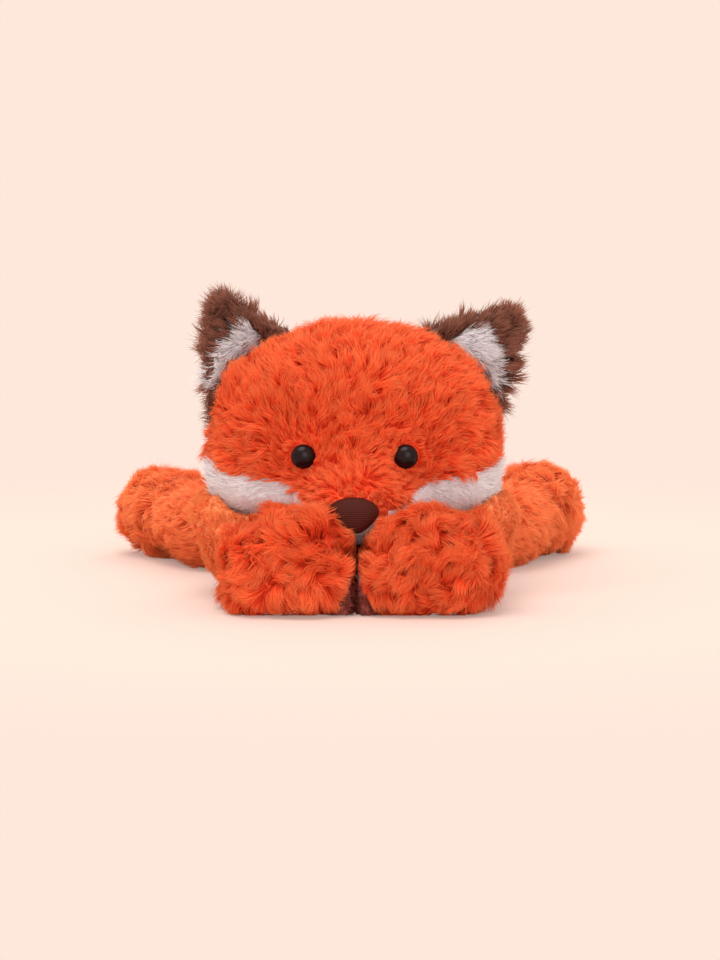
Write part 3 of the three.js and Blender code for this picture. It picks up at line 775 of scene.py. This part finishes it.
class FOX_OT_stage(bpy.types.Operator):
    """Plain pale floor, soft studio light and the camera"""
    bl_idname = "fox.stage"
    bl_label = "Stage"

    def execute(self, context):
        scene = context.scene
        stage = scene.fox_stage
        backdrop = colours().backdrop
        scene.view_settings.view_transform = "Standard"
        world = bpy.data.worlds.new("studio")
        scene.world = world
        world.use_nodes = True
        tree = world.node_tree
        tree.nodes.clear()
        path = put(tree, "ShaderNodeLightPath").outputs
        seen = put(tree, "ShaderNodeMath", {"operation": "MAXIMUM"}, i0=path["Is Camera Ray"],
                   i1=path["Is Glossy Ray"])
        light = put(tree, "ShaderNodeBackground", Color=(1, 0.965, 0.94, 1), Strength=stage.sky)
        plain = put(tree, "ShaderNodeBackground", Color=(*backdrop, 1), Strength=1.0)
        mix = put(tree, "ShaderNodeMixShader", i0=seen.outputs[0], i1=light.outputs[0], i2=plain.outputs[0])
        put(tree, "ShaderNodeOutputWorld", Surface=mix.outputs[0])

        # Near the toy the paper's colour is painted darker and pinker than the backdrop: partly so that the lit
        # paper meets the backdrop under the lamps, and partly painted shadow and painted orange light from the
        # pile. There the camera also sees a share of the flat backdrop glow, painted light that lightens the
        # floor's shadows, and further out it sees only that glow.
        painted_bounce_tint = (0.78, 0.69, 0.68)
        floor, tree = new_material("seamless_paper")
        shader = put(tree, "ShaderNodeBsdfPrincipled", Roughness=0.95, Specular_IOR_Level=0.1,
                     Base_Color=(*(c * b for c, b in zip(backdrop, painted_bounce_tint)), 1))
        place = put(tree, "ShaderNodeTexCoord").outputs["Object"]
        distance = put(tree, "ShaderNodeVectorMath", {"operation": "LENGTH"}, i0=place).outputs["Value"]
        # The 0.28 share of backdrop glow beside the toy is painted light in the floor's shadows
        far = put(tree, "ShaderNodeMapRange", {"interpolation_type": "SMOOTHSTEP"}, Value=distance, i1=0.17,
                  i2=0.55, i3=0.28)
        paper = put(tree, "ShaderNodeEmission", Color=(*backdrop, 1), Strength=1.0)
        path = put(tree, "ShaderNodeLightPath").outputs
        share = put(tree, "ShaderNodeMath", {"operation": "MULTIPLY"}, i0=far.outputs[0],
                    i1=path["Is Camera Ray"])
        mix = put(tree, "ShaderNodeMixShader", i0=share.outputs[0], i1=shader.outputs[0], i2=paper.outputs[0])
        put(tree, "ShaderNodeOutputMaterial", Surface=mix.outputs[0])
        bpy.ops.mesh.primitive_circle_add(vertices=96, radius=6, fill_type="NGON", location=(0, 0, 0))
        ground = context.active_object
        ground.name = "floor"
        ground.data.materials.append(floor)

        for name, power, place, size in (("key", stage.key, (-0.45, -0.9, 2.2), 1.6),
                                         ("fill", stage.fill, (0.8, -3.2, 0.9), 2.0),
                                         ("back", stage.back, (0.1, 1.0, 1.3), 1.2)):
            lamp = bpy.data.lights.new(name, "AREA")
            lamp.energy = power
            lamp.size = size
            lamp.color = (1, 0.97, 0.94)
            obj = bpy.data.objects.new(name, lamp)
            obj.location = place
            obj.rotation_mode = "QUATERNION"
            obj.rotation_quaternion = (Vector((0, -0.08, 0.05)) - Vector(place)).to_track_quat("-Z", "Y")
            scene.collection.objects.link(obj)

        camera = bpy.data.cameras.new("camera")
        camera.lens = stage.lens
        camera.sensor_width = 36
        camera.shift_x = 5.5 / 960
        eye = bpy.data.objects.new("camera", camera)
        # 1.6 m from the floor under the paws, 8 degrees up, and aimed 2.19 degrees higher than that
        eye.location = (0, -1.7264, 0.2227)
        tilt = math.radians(8 - 2.19)
        eye.rotation_euler = (math.pi / 2 - tilt, 0, 0)
        scene.collection.objects.link(eye)
        scene.camera = eye
        return {"FINISHED"}


class FOX_OT_body(bpy.types.Operator):
    """Upper body and belly, with the stuffing and the pellet bag"""
    bl_idname = "fox.body"
    bl_label = "Body"

    def execute(self, context):
        s = sizes()
        skin = Skin("body", ("body_stuffing", "pellet_pouch"), 4 * MM, {"body_cover": 6, "belly_panel": 4})
        skin.cloth("body_cover", "body_fabric", "orange_knit")
        skin.cloth("belly_panel", "belly_fabric", "white_knit")
        skin.filling("body_filling", "body_stuffing")
        back = lambda p, n: np.stack([p[:, 0] * 0.4, np.full(len(p), 0.05), np.full(len(p), -0.02)], axis=1)
        grow("body_pile", skin, ["body_cover"], "orange", "orange_plush", 27000, s.long_pile, back, 1,
             swirl=0.7)
        grow("belly_pile", skin, ["belly_panel"], "white", "white_plush", 9000, s.white_pile, back, 2,
             lean=(30, 75), curl=0.6)
        bag = with_modifier(joined_nodes(["pellet_pouch"]), "REMESH", mode="VOXEL", voxel_size=3 * MM)
        edges = read_edges(bag)
        points = smoothed(read_points(bag), edges, 3)
        triangles, _ = read_triangles(bag)
        points += vertex_normals(points, triangles) * (drift(points, 9 * MM, 5)[:, :1] * 0.5 * MM)
        write_points(bag, points)
        pouch = placed("pellet_bag", shaded(bag), [material("bag")])
        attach(pouch, "body")
        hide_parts("pellet_pouch")
        return {"FINISHED"}


def eye_axis(side):
    """The back end of an eye's shank and the way the eye looks, from the eye's own solid."""
    points = read_points(NODES[f"eye_{side}"].data)
    points = points[np.argsort(points[:, 1])]
    back = points[-6:].mean(0)
    return back, unit(points[0] - back)


def from_axis(points, back, look):
    """How far points stand along an eye's axis, and the way out to them from it."""
    out = points - back
    height = out @ look
    return height, out - height[..., None] * look


class FOX_OT_head(bpy.types.Operator):
    """Head with its orange cover, white cheeks and chin, and the muzzle"""
    bl_idname = "fox.head"
    bl_label = "Head"

    def execute(self, context):
        s = sizes()
        axes = [eye_axis(side) for side, _ in SIDES]

        def seat(points, depth, normals, free):
            """The cloth comes up to the eyes' rims, and is fuller at the temples."""
            for axis in axes:
                height, off = from_axis(points, *axis)
                near = 1 - ease(np.linalg.norm(off, axis=1), 7 * MM, 13 * MM)
                near *= (points[:, 1] < -100 * MM) & (height > 0)
                depth = depth * (1 - near) + np.minimum(depth, 3.4 * MM) * near
            fuller = ease(np.abs(points[:, 0]), 48 * MM, 64 * MM) * ease(points[:, 2], 58 * MM, 72 * MM)
            return depth - 3 * MM * fuller * free

        inner = ("head_stuffing", "nose", "eye_left", "eye_right", "eye_washer_left", "eye_washer_right")
        inset = {"head_cover": 6, "cheek_left": 3.6, "cheek_right": 3.6, "muzzle_cover": 5, "chin_panel": 9}
        skin = Skin("head", inner, 4 * MM, inset, ignore=("ear_left", "ear_right"), seat=seat, lumps=0.9)
        skin.cloth("head_cover", "head_fabric", "orange_knit")
        skin.cloth("muzzle_cover", "muzzle_fabric", "orange_knit")
        skin.cloth("chin_panel", "chin_fabric", "white_knit")
        skin.filling("head_filling", "head_stuffing")
        ears = tree_of([f"ear_{part}_{side}" for part in ("back", "lining") for side, _ in SIDES])
        nose_low, nose_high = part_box("nose")
        nose = np.array((nose_low + nose_high) / 2) + [-0.5 * MM, 0, 1.2 * MM]

        def outside(root, normal):
            """Roots that aren't under an eye or an ear."""
            stay = distances(ears, root + normal * 6 * MM) > 2.0 * MM
            for axis in axes:
                height, off = from_axis(root, *axis)
                stay &= (np.linalg.norm(off, axis=1) > 5.6 * MM) | (height < -5 * MM)
            return stay

        def beside_eyes(points, radius):
            """How far points stand from the nearer eye's axis, as a share of a radius."""
            near = np.full(points.shape[:-1], FAR)
            for axis in axes:
                height, off = from_axis(points, *axis)
                near = np.minimum(near, np.where(height > -8 * MM, np.linalg.norm(off, axis=-1) / radius, FAR))
            return near

        def beside_nose(points):
            """How far points stand from the middle of the nose, as a share of its half sizes."""
            out = (points - nose)[..., [0, 2]] / (np.array([12.8, 8.8]) * MM)
            return np.where(points[..., 1] < nose[1] + 8 * MM, np.linalg.norm(out, axis=-1), FAR)

        def clear(rings):
            """Strands that don't cross the eyes or the nose."""
            return (beside_eyes(rings, EYE_RADIUS * 0.86) > 1).all(1) & (beside_nose(rings) > 0.84).all(1)

        def trim(root):
            """The pile is clipped short round the eyes, the nose and the ears, and hangs over the cheeks."""
            eyes = 0.5 + 0.5 * ease(beside_eyes(root, EYE_RADIUS), 1.2, 3.2)
            low = 1 - ease(root[:, 2], 62 * MM, 76 * MM)
            beside = np.maximum(ease(-root[:, 0], 36 * MM, 54 * MM), ease(root[:, 0], 42 * MM, 56 * MM))
            fringe = 1 + low * (0.3 * ease(-root[:, 1], 100 * MM, 125 * MM) - 0.8 * beside)
            by_ears = 0.45 + 0.55 * ease(distances(ears, root), 5 * MM, 15 * MM)
            return eyes * fringe * by_ears * (0.5 + 0.5 * ease(beside_nose(root), 1.2, 2.2))

        def radial(places, normals):
            """The pile leads away from the nose, and parts round the eyes."""
            way = unit(places - np.array([0, -152, 46]) * MM)
            way = way + 0.5 * drift(places, 30 * MM, 3)
            for axis in axes:
                _, off = from_axis(places, *axis)
                size = np.linalg.norm(off, axis=1, keepdims=True)
                way = way + 1.2 * (1 - ease(size, 6 * MM, 11 * MM)) * unit(off)
            return way

        face = lambda root, normal: outside(root, normal) & (root[:, 1] < FACE_BACK)
        back = lambda root, normal: outside(root, normal) & (root[:, 1] >= FACE_BACK)
        hang = lambda root: 1 + 0.5 * ease(np.abs(root[:, 0]), 54 * MM, 66 * MM)
        look = dict(lean=(30, 72), lock=3.7, tuft=10.0, wild=0.34, gather=0.28, uneven=0.2, clear=clear,
                    trim=trim)
        grow("face_pile", skin, ["head_cover"], "orange", "orange_plush", 68000, s.head_pile, radial, 11,
             keep=face, **look)
        grow("head_back_pile", skin, ["head_cover"], "orange", "orange_plush", 44000, s.head_pile, radial, 12,
             keep=back, **look)
        grow("muzzle_pile", skin, ["muzzle_cover"], "orange", "orange_plush", 4200, s.head_pile * 0.6, radial,
             13, keep=outside, lean=(30, 70), curl=0.5, lock=2.2, wild=0.3, swirl=0.3, clear=clear, trim=trim,
             width=0.85)
        grow("chin_pile", skin, ["chin_panel"], "white", "white_plush", 3500, s.white_pile * 0.7, radial, 14,
             keep=outside, lean=(35, 75), curl=0.5, clear=clear, trim=trim)
        for side, sign in SIDES:
            node = f"cheek_{side}"
            skin.cloth(node, f"cheek_fabric_{side}", "white_knit")
            grow(f"cheek_pile_{side}", skin, [node], "white", "white_plush", 12000, s.white_pile * 0.75, radial,
                 15 + sign, lean=(50, 80), curl=0.3, lock=1.8, tuft=14.0, wild=0.12, swirl=0.2, gather=0.2,
                 width=0.85, clear=clear, uneven=0.08, trim=hang)
        return {"FINISHED"}


class FOX_OT_eyes(bpy.types.Operator):
    """Moulded eyes with their shanks, and the washers that hold them"""
    bl_idname = "fox.eyes"
    bl_label = "Eyes"

    def execute(self, context):
        for side, _ in SIDES:
            back, look = eye_axis(side)
            top = (read_points(NODES[f"eye_{side}"].data) @ look).max() - back @ look
            dome, shank, steps, sides = 4.6 * MM, 1.6 * MM, 24, 48
            profile = [(0.0, 0.0), (1.2 * MM, 0.0), (shank, 0.4 * MM), (shank, top - dome - 0.2 * MM),
                       (EYE_RADIUS - 0.7 * MM, top - dome)]
            for k in range(1, steps + 1):
                angle = math.pi / 2 * k / steps
                profile.append((EYE_RADIUS * math.cos(angle) if k < steps else 0.0,
                                top - dome + dome * math.sin(angle)))
            work = bmesh.new()
            turn = Vector((0, 0, 1)).rotation_difference(Vector(look))
            rings = []
            for radius, height in profile:
                around = [math.tau * i / sides for i in range(1 if radius == 0 else sides)]
                rings.append([work.verts.new(Vector(back) + turn @ Vector((
                    radius * math.cos(angle), radius * math.sin(angle), height))) for angle in around])
            for low, high in zip(rings, rings[1:]):
                for i in range(sides):
                    picks = ((low, i), (low, i + 1), (high, i + 1), (high, i))
                    corners = [ring[k % len(ring)] for ring, k in picks]
                    work.faces.new(list(dict.fromkeys(corners)))
            bmesh.ops.recalc_face_normals(work, faces=work.faces)
            obj = placed(f"eye_dome_{side}", shaded(mesh_of(work, f"eye_dome_{side}")), [material("eye")])
            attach(obj, "head")
            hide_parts(f"eye_{side}")
            washer = NODES[f"eye_washer_{side}"]
            washer.data.materials.clear()
            washer.data.materials.append(material("washer"))
        return {"FINISHED"}


class FOX_OT_nose(bpy.types.Operator):
    """Padded nose of woven fabric"""
    bl_idname = "fox.nose"
    bl_label = "Nose"

    def execute(self, context):
        low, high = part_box("nose")
        middle = (low + high) / 2 + Vector((-0.5, 0, 1.5)) * MM
        half = (high - low) / 2
        fullness = 2.4
        work = bmesh.new()
        bmesh.ops.create_icosphere(work, subdivisions=5, radius=1)
        for vertex in work.verts:
            p = vertex.co.normalized()
            p = p * sum(abs(c) ** fullness for c in p) ** (-1 / fullness)
            taper = 1.0 - 0.42 * float(ease(-p.z, -0.45, 1.0))
            crown = 0.10 * (1 - p.x * p.x) * max(p.z, 0)
            vertex.co = (middle.x + p.x * half.x * taper * 1.15, middle.y + p.y * half.y * 1.25,
                         middle.z + (0.92 * p.z + crown - 0.05) * half.z)
        obj = placed("nose_pad", shaded(mesh_of(work, "nose_pad")), [material("nose")])
        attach(obj, "head")
        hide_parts("nose")
        return {"FINISHED"}


class FOX_OT_ears(bpy.types.Operator):
    """Ears with a shaggy brown back and rim and a white lining"""
    bl_idname = "fox.ears"
    bl_label = "Ears"

    def execute(self, context):
        s = sizes()
        head = tree_of(["head_cover"])
        for side, sign in SIDES:
            back, lining = f"ear_back_{side}", f"ear_lining_{side}"
            joint = next(j for j in frame["joints"] if j["name"] == f"ear_{side}_fold")
            root_at = np.array(joint["pos_m"])
            axis = np.array(joint["axis"])
            outward = unit(np.cross(axis, [0, -1, 0]))
            if outward[2] < 0:
                outward = -outward
            forward = unit(np.cross(axis, outward))
            away = axis if axis[0] * sign > 0 else -axis
            # How far out the lining reaches, and how much more than the rim the outer edge is drawn in
            widest, slimmer = (3 * MM, -6.5) if side == "left" else (9 * MM, 2)

            def rim(points, depth, normals, free):
                """The rim is drawn in further than the faces, because its pile stands straight out."""
                edge = ease(1 - np.abs(normals @ forward), 0.3, 0.9)
                return depth + (7.5 + slimmer * ease(normals @ away, 0, 0.6)) * MM * edge * free

            skin = Skin(f"ear_{side}", (), 2 * MM, {back: 4.2, lining: 2.2}, swell=False, seat=rim)
            near = 1 - ease(distances(head, skin.points), 2 * MM, 7 * MM)
            skin.moved(-outward[None] * (near * 5 * MM)[:, None])
            skin.cloth(back, f"ear_fabric_{side}", "brown_knit")
            skin.cloth(lining, f"ear_lining_fabric_{side}", "white_knit")
            base = root_at - outward * 14 * MM

            def fan(places, normals):
                """The brown pile spreads from the ear's root, and hangs over at its outer corner."""
                out = (places - root_at) @ away
                return unit(places - base) + [sign * 0.35, 0, 0] + 0.8 * ease(out, 0, 14 * MM)[:, None] * away

            def lined(places, normals):
                """Where the white lining shows: low on the ear's front, short of its tip and its outer edge."""
                high, out = (places - root_at) @ outward, (places - root_at) @ away
                return ((normals @ forward > 0.45) & (high < 21 * MM - 0.15 * np.abs(out + 14 * MM))
                        & (out > -26 * MM) & (out < widest))

            grow(f"ear_pile_{side}", skin, [back, lining], "brown", "brown_plush", 12000, s.ear_pile, fan,
                 31 + sign, lean=(25, 62), curl=0.5, tuft=8.0, wild=0.3, swirl=0.3, gather=0.75, fit=False,
                 uneven=0.3, keep=lambda p, n: ~lined(p, n))
            grow(f"ear_lining_pile_{side}", skin, [back, lining], "white", "white_plush", 14000,
                 s.white_pile * 1.3, along(sign, 0, 0.15), 41 + sign, lean=(30, 74), curl=0.4, lock=2.4,
                 wild=0.2, swirl=0.3, gather=0.4, fit=False, keep=lined)
        return {"FINISHED"}


def rosettes(places, normals, seed):
    """Pile that circles in swirls about 20 mm wide, as on curly plush: it runs along the level lines of
    a smooth random height, so that it never meets in a point."""
    rng = np.random.default_rng(seed)
    slope = np.zeros_like(places)
    for _ in range(9):
        wave = unit(rng.normal(size=3)) * rng.uniform(0.7, 1.6)
        slope += np.cos(places @ wave * math.tau / (36 * MM) + rng.uniform(0, math.tau))[:, None] * wave
    return np.cross(normals, slope) * 0.7


class FOX_OT_front_legs(bpy.types.Operator):
    """Front legs: clipped, gathered sleeves, curly paws and brown soles"""
    bl_idname = "fox.front_legs"
    bl_label = "Front legs"

    def execute(self, context):
        s = sizes()
        for side, sign in SIDES:
            body = f"front_leg_{side}"
            sleeve, paw, sole = f"sleeve_{side}", f"paw_{side}", f"paw_sole_{side}"
            # How far the outer side and the shoulder stand back, and how high the paws touch each other
            outer, corner, reach_up = (-3, 1, 24 * MM) if side == "left" else (3, 6, 34 * MM)

            def seat(points, depth, normals, free):
                """The tops of the paws stand back and leave room for long curls. The right paw is the
                slimmer one, with a rounder shoulder."""
                ahead = ease(-points[:, 1], 120 * MM, 138 * MM)
                out = points[:, 0] * sign
                top = ease(normals[:, 2], 0.15, 0.7) * ahead * ease(out, 12 * MM, 30 * MM)
                beside = ease(normals[:, 0] * sign, 0.3, 0.9) * ahead
                shoulder = ease(out, 40 * MM, 56 * MM) * ease(points[:, 2], 34 * MM, 46 * MM) * ahead
                high = ease(points[:, 2], 28 * MM, 42 * MM)
                rise = ease(out, 60 * MM, 68 * MM) * high * (1 - ahead)
                dip = ease(out, 42 * MM, 48 * MM) * (1 - ease(out, 56 * MM, 64 * MM)) * high
                return (np.maximum(depth, 6.5 * MM * top)
                        + (outer * beside + corner * shoulder - 8 * rise + 5 * dip * free) * MM)

            skin = Skin(body, (f"front_leg_stuffing_{side}",), 4 * MM, {sleeve: 2.6, paw: 7, sole: 2.2},
                        seat=seat, lumps=1.5)
            # The soles press on each other between the paws, and sag to the floor behind their front edge
            x, y, z = skin.points.T
            low = (1 - ease(x * sign, 6 * MM, 24 * MM)) * (1 - ease(z, 20 * MM, 30 * MM))
            high = (1 - ease(x * sign, 5 * MM, 15 * MM)) * (1 - ease(z, reach_up, reach_up + 9 * MM))
            meet = np.maximum(low, high) * ease(-y, 125 * MM, 140 * MM)
            under = (z < 2 * MM + 0.8 * (20 * MM - x * sign)) & (x * sign < 20 * MM)
            front = y[z < 20 * MM].min()
            drop = under * ease(y, front + 3 * MM, front + 9 * MM)
            lift = np.maximum(PAW_RISE * (PAW_FRONT - y) - z, 0)
            skin.moved(np.stack([(0.35 * MM * sign - x) * meet, 0 * x,
                                 (FLOOR_GAP - z) * drop + lift * (1 - drop)], axis=1))
            skin.moved(skin.normals * gathers(skin, sleeve, paw, 50 + sign)[:, None])
            skin.turn_up(sole, paw, lambda p: (p[:, 1] < PAW_FRONT + 6 * MM) & (p[:, 0] * sign > 15 * MM))
            skin.cloth(sleeve, f"sleeve_fabric_{side}", "sleeve_knit")
            skin.cloth(paw, f"paw_fabric_{side}", "orange_knit")
            skin.cloth(sole, f"paw_sole_fabric_{side}", "sole_knit")
            skin.filling(f"front_leg_filling_{side}", f"front_leg_stuffing_{side}")

            def curls(places, normals):
                """Swirls, which turn down at the floor and in towards the other paw over the chin."""
                x, z = places[:, :1] * sign, places[:, 2:]
                low = 1 - ease(z, 8 * MM, 20 * MM)
                inner = (1 - ease(x, 8 * MM, 24 * MM)) * ease(z, 16 * MM, 30 * MM)
                return (rosettes(places, normals, 60 + sign) + np.array([0, -0.1, -0.15])
                        - 2.0 * low * [0, 0, 1] + 1.6 * inner * [-sign, -0.3, 0.5])

            def apart(rings):
                """The curls leave the soles free where these meet between the paws, and keep off the floor
                in front."""
                gap = np.maximum(0.53 * (18.7 * MM - rings[..., 2]), 0.8 * MM)
                over = rings[..., 2] > PAW_RISE * (PAW_FRONT - rings[..., 1]) - 1.0 * MM
                return (((rings[..., 0] - 1.2 * MM) * sign > gap - 0.6 * MM) & over).all(1)

            def trim(root):
                """Short at the floor, and long at the right paw's inner corner, beside the nose."""
                inner = ease(root[:, 2], 30 * MM, 40 * MM) * (1 - ease(root[:, 0] * sign, 12 * MM, 24 * MM))
                low = 0.65 + 0.35 * ease(root[:, 2], 2 * MM, 12 * MM)
                return low * (1 + (0.9 if side == "right" else 0) * inner)

            grow(f"paw_pile_{side}", skin, [paw], "orange", "orange_plush", 42000, s.long_pile, curls,
                 51 + sign, lean=(34, 78), curl=1.1, lock=3.9, tuft=8.5, wild=0.45, swirl=0.55, gather=0.21,
                 clear=apart, trim=trim)
            grow(f"sleeve_pile_{side}", skin, [sleeve], "sleeve", "short_orange_plush", 20000, s.short_pile,
                 along(-0.2 * sign, -1, -0.3), 54 + sign, lean=(20, 60), curl=0.4, lock=1.8, tuft=6.0, steps=3,
                 width=0.8)
            grow(f"paw_sole_pile_{side}", skin, [sole], "sole", "sole_plush", 5000, s.short_pile,
                 along(0, -1, 0), 57 + sign, lean=(30, 70), curl=0.3, lock=1.8, steps=3, width=0.8)
        return {"FINISHED"}


def gathers(skin, upper, end, seed):
    """How far a limb's short cloth puckers out where it is gathered into the seam of its end."""
    points = skin.points
    seam = distances(tree_of([end]), points)
    near = ease(-seam, -34 * MM, -3 * MM)
    wave = np.sin(points[:, 2] / (3.1 * MM) + drift(points, 22 * MM, seed)[:, 0] * 2.4)
    mine = 1 - ease(distances(tree_of([upper]), points), 4 * MM, 7 * MM)
    free = ease(skin.room, 3 * MM, 7 * MM)
    return (wave * 0.9 + 0.3) * near * mine * free * 1.2 * MM


class FOX_OT_hind_legs(bpy.types.Operator):
    """Hind legs: thighs, long-pile feet and their soles"""
    bl_idname = "fox.hind_legs"
    bl_label = "Hind legs"

    def execute(self, context):
        s = sizes()
        for side, sign in SIDES:
            body = f"hind_leg_{side}"
            thigh, foot, sole = f"thigh_{side}", f"foot_{side}", f"foot_sole_{side}"
            # How far in the outer side and the top of the foot are drawn
            outer, back = (4, -2.5) if side == "left" else (0, 0)

            def seat(points, depth, normals, free):
                """The left foot lies a little nearer to the body."""
                out = points[:, 0] * sign
                beside = ease(normals[:, 0] * sign, 0.3, 0.9) * ease(out, 95 * MM, 115 * MM)
                top = (ease(normals[:, 2], 0.3, 0.8) * ease(out, 80 * MM, 88 * MM)
                       * (1 - ease(out, 104 * MM, 114 * MM)))
                return depth + (outer * beside + back * top) * MM

            skin = Skin(body, (f"hind_leg_stuffing_{side}",), 4 * MM, {thigh: 4.4, foot: 6, sole: 3},
                        seat=seat, lumps=1.3)
            skin.cloth(thigh, f"thigh_fabric_{side}", "sleeve_knit")
            skin.cloth(foot, f"foot_fabric_{side}", "orange_knit")
            skin.cloth(sole, f"foot_sole_fabric_{side}", "sole_knit")
            skin.filling(f"hind_leg_filling_{side}", f"hind_leg_stuffing_{side}")
            curls = lambda p, n: rosettes(p, n, 80 + sign) + np.array([sign * 0.3, 0, -0.2])
            grow(f"thigh_pile_{side}", skin, [thigh], "hind", "short_orange_plush", 17000, s.long_pile * 0.75,
                 along(sign, 0.3, -0.5), 71 + sign, lean=(25, 68), curl=0.8, lock=3.6, wild=0.3, gather=0.5)
            grow(f"foot_pile_{side}", skin, [foot], "hind", "foot_plush", 28000, s.long_pile, curls, 74 + sign,
                 lean=(34, 80), curl=1.1, lock=3.7, tuft=9.0, wild=0.45, swirl=0.6, gather=0.32, uneven=0.18)
            grow(f"foot_sole_pile_{side}", skin, [sole], "sole", "sole_plush", 1500, s.short_pile,
                 along(0, 1, 0), 77 + sign, lean=(40, 80), curl=0.3, lock=1.8, steps=3, width=0.8)
        return {"FINISHED"}


class FOX_OT_tail(bpy.types.Operator):
    """Bushy tail with a white end"""
    bl_idname = "fox.tail"
    bl_label = "Tail"

    def execute(self, context):
        s = sizes()
        skin = Skin("tail", ("tail_stuffing",), 4 * MM, {"tail_cover": 6, "tail_tip": 6})
        near = 1 - ease(skin.points[:, 1:2], 82 * MM, 100 * MM)
        skin.moved(near * [0, -12 * MM, 0])
        skin.cloth("tail_cover", "tail_fabric", "orange_knit")
        skin.cloth("tail_tip", "tail_tip_fabric", "white_knit")
        skin.filling("tail_filling", "tail_stuffing")
        out = along(0, 1, -0.1)
        grow("tail_pile", skin, ["tail_cover"], "orange", "orange_plush", 15000, s.long_pile, out, 91,
             lean=(15, 62), curl=1.2, swirl=0.5, fit=False)
        grow("tail_tip_pile", skin, ["tail_tip"], "white", "white_plush", 7000, s.long_pile, out, 92,
             lean=(25, 65), curl=1.1, swirl=0.4)
        return {"FINISHED"}


OPERATORS = (FOX_OT_stage, FOX_OT_body, FOX_OT_head, FOX_OT_eyes, FOX_OT_nose, FOX_OT_ears, FOX_OT_front_legs,
             FOX_OT_hind_legs, FOX_OT_tail)


class FOX_PT_pieces(bpy.types.Panel):
    """The fox's pieces, one button each"""
    bl_idname = "FOX_PT_pieces"
    bl_label = "Plush fox"
    bl_space_type = "VIEW_3D"
    bl_region_type = "UI"
    bl_category = "Plush fox"

    def draw(self, context):
        for operator in OPERATORS:
            self.layout.operator(operator.bl_idname)
        for group in (context.scene.fox_sizes, context.scene.fox_colours, context.scene.fox_stage):
            box = self.layout.box()
            for name in group.__annotations__:
                box.prop(group, name)


CLASSES = (FoxColours, FoxSizes, FoxStage, *OPERATORS, FOX_PT_pieces)


def register():
    for item in CLASSES:
        bpy.utils.register_class(item)
    bpy.types.Scene.fox_colours = PointerProperty(type=FoxColours)
    bpy.types.Scene.fox_sizes = PointerProperty(type=FoxSizes)
    bpy.types.Scene.fox_stage = PointerProperty(type=FoxStage)


def unregister():
    del bpy.types.Scene.fox_colours, bpy.types.Scene.fox_sizes, bpy.types.Scene.fox_stage
    for item in reversed(CLASSES):
        bpy.utils.unregister_class(item)


def main():
    register()
    for operator in OPERATORS:
        getattr(bpy.ops.fox, operator.bl_idname.split(".")[1])()


if __name__ == "__main__":
    main()
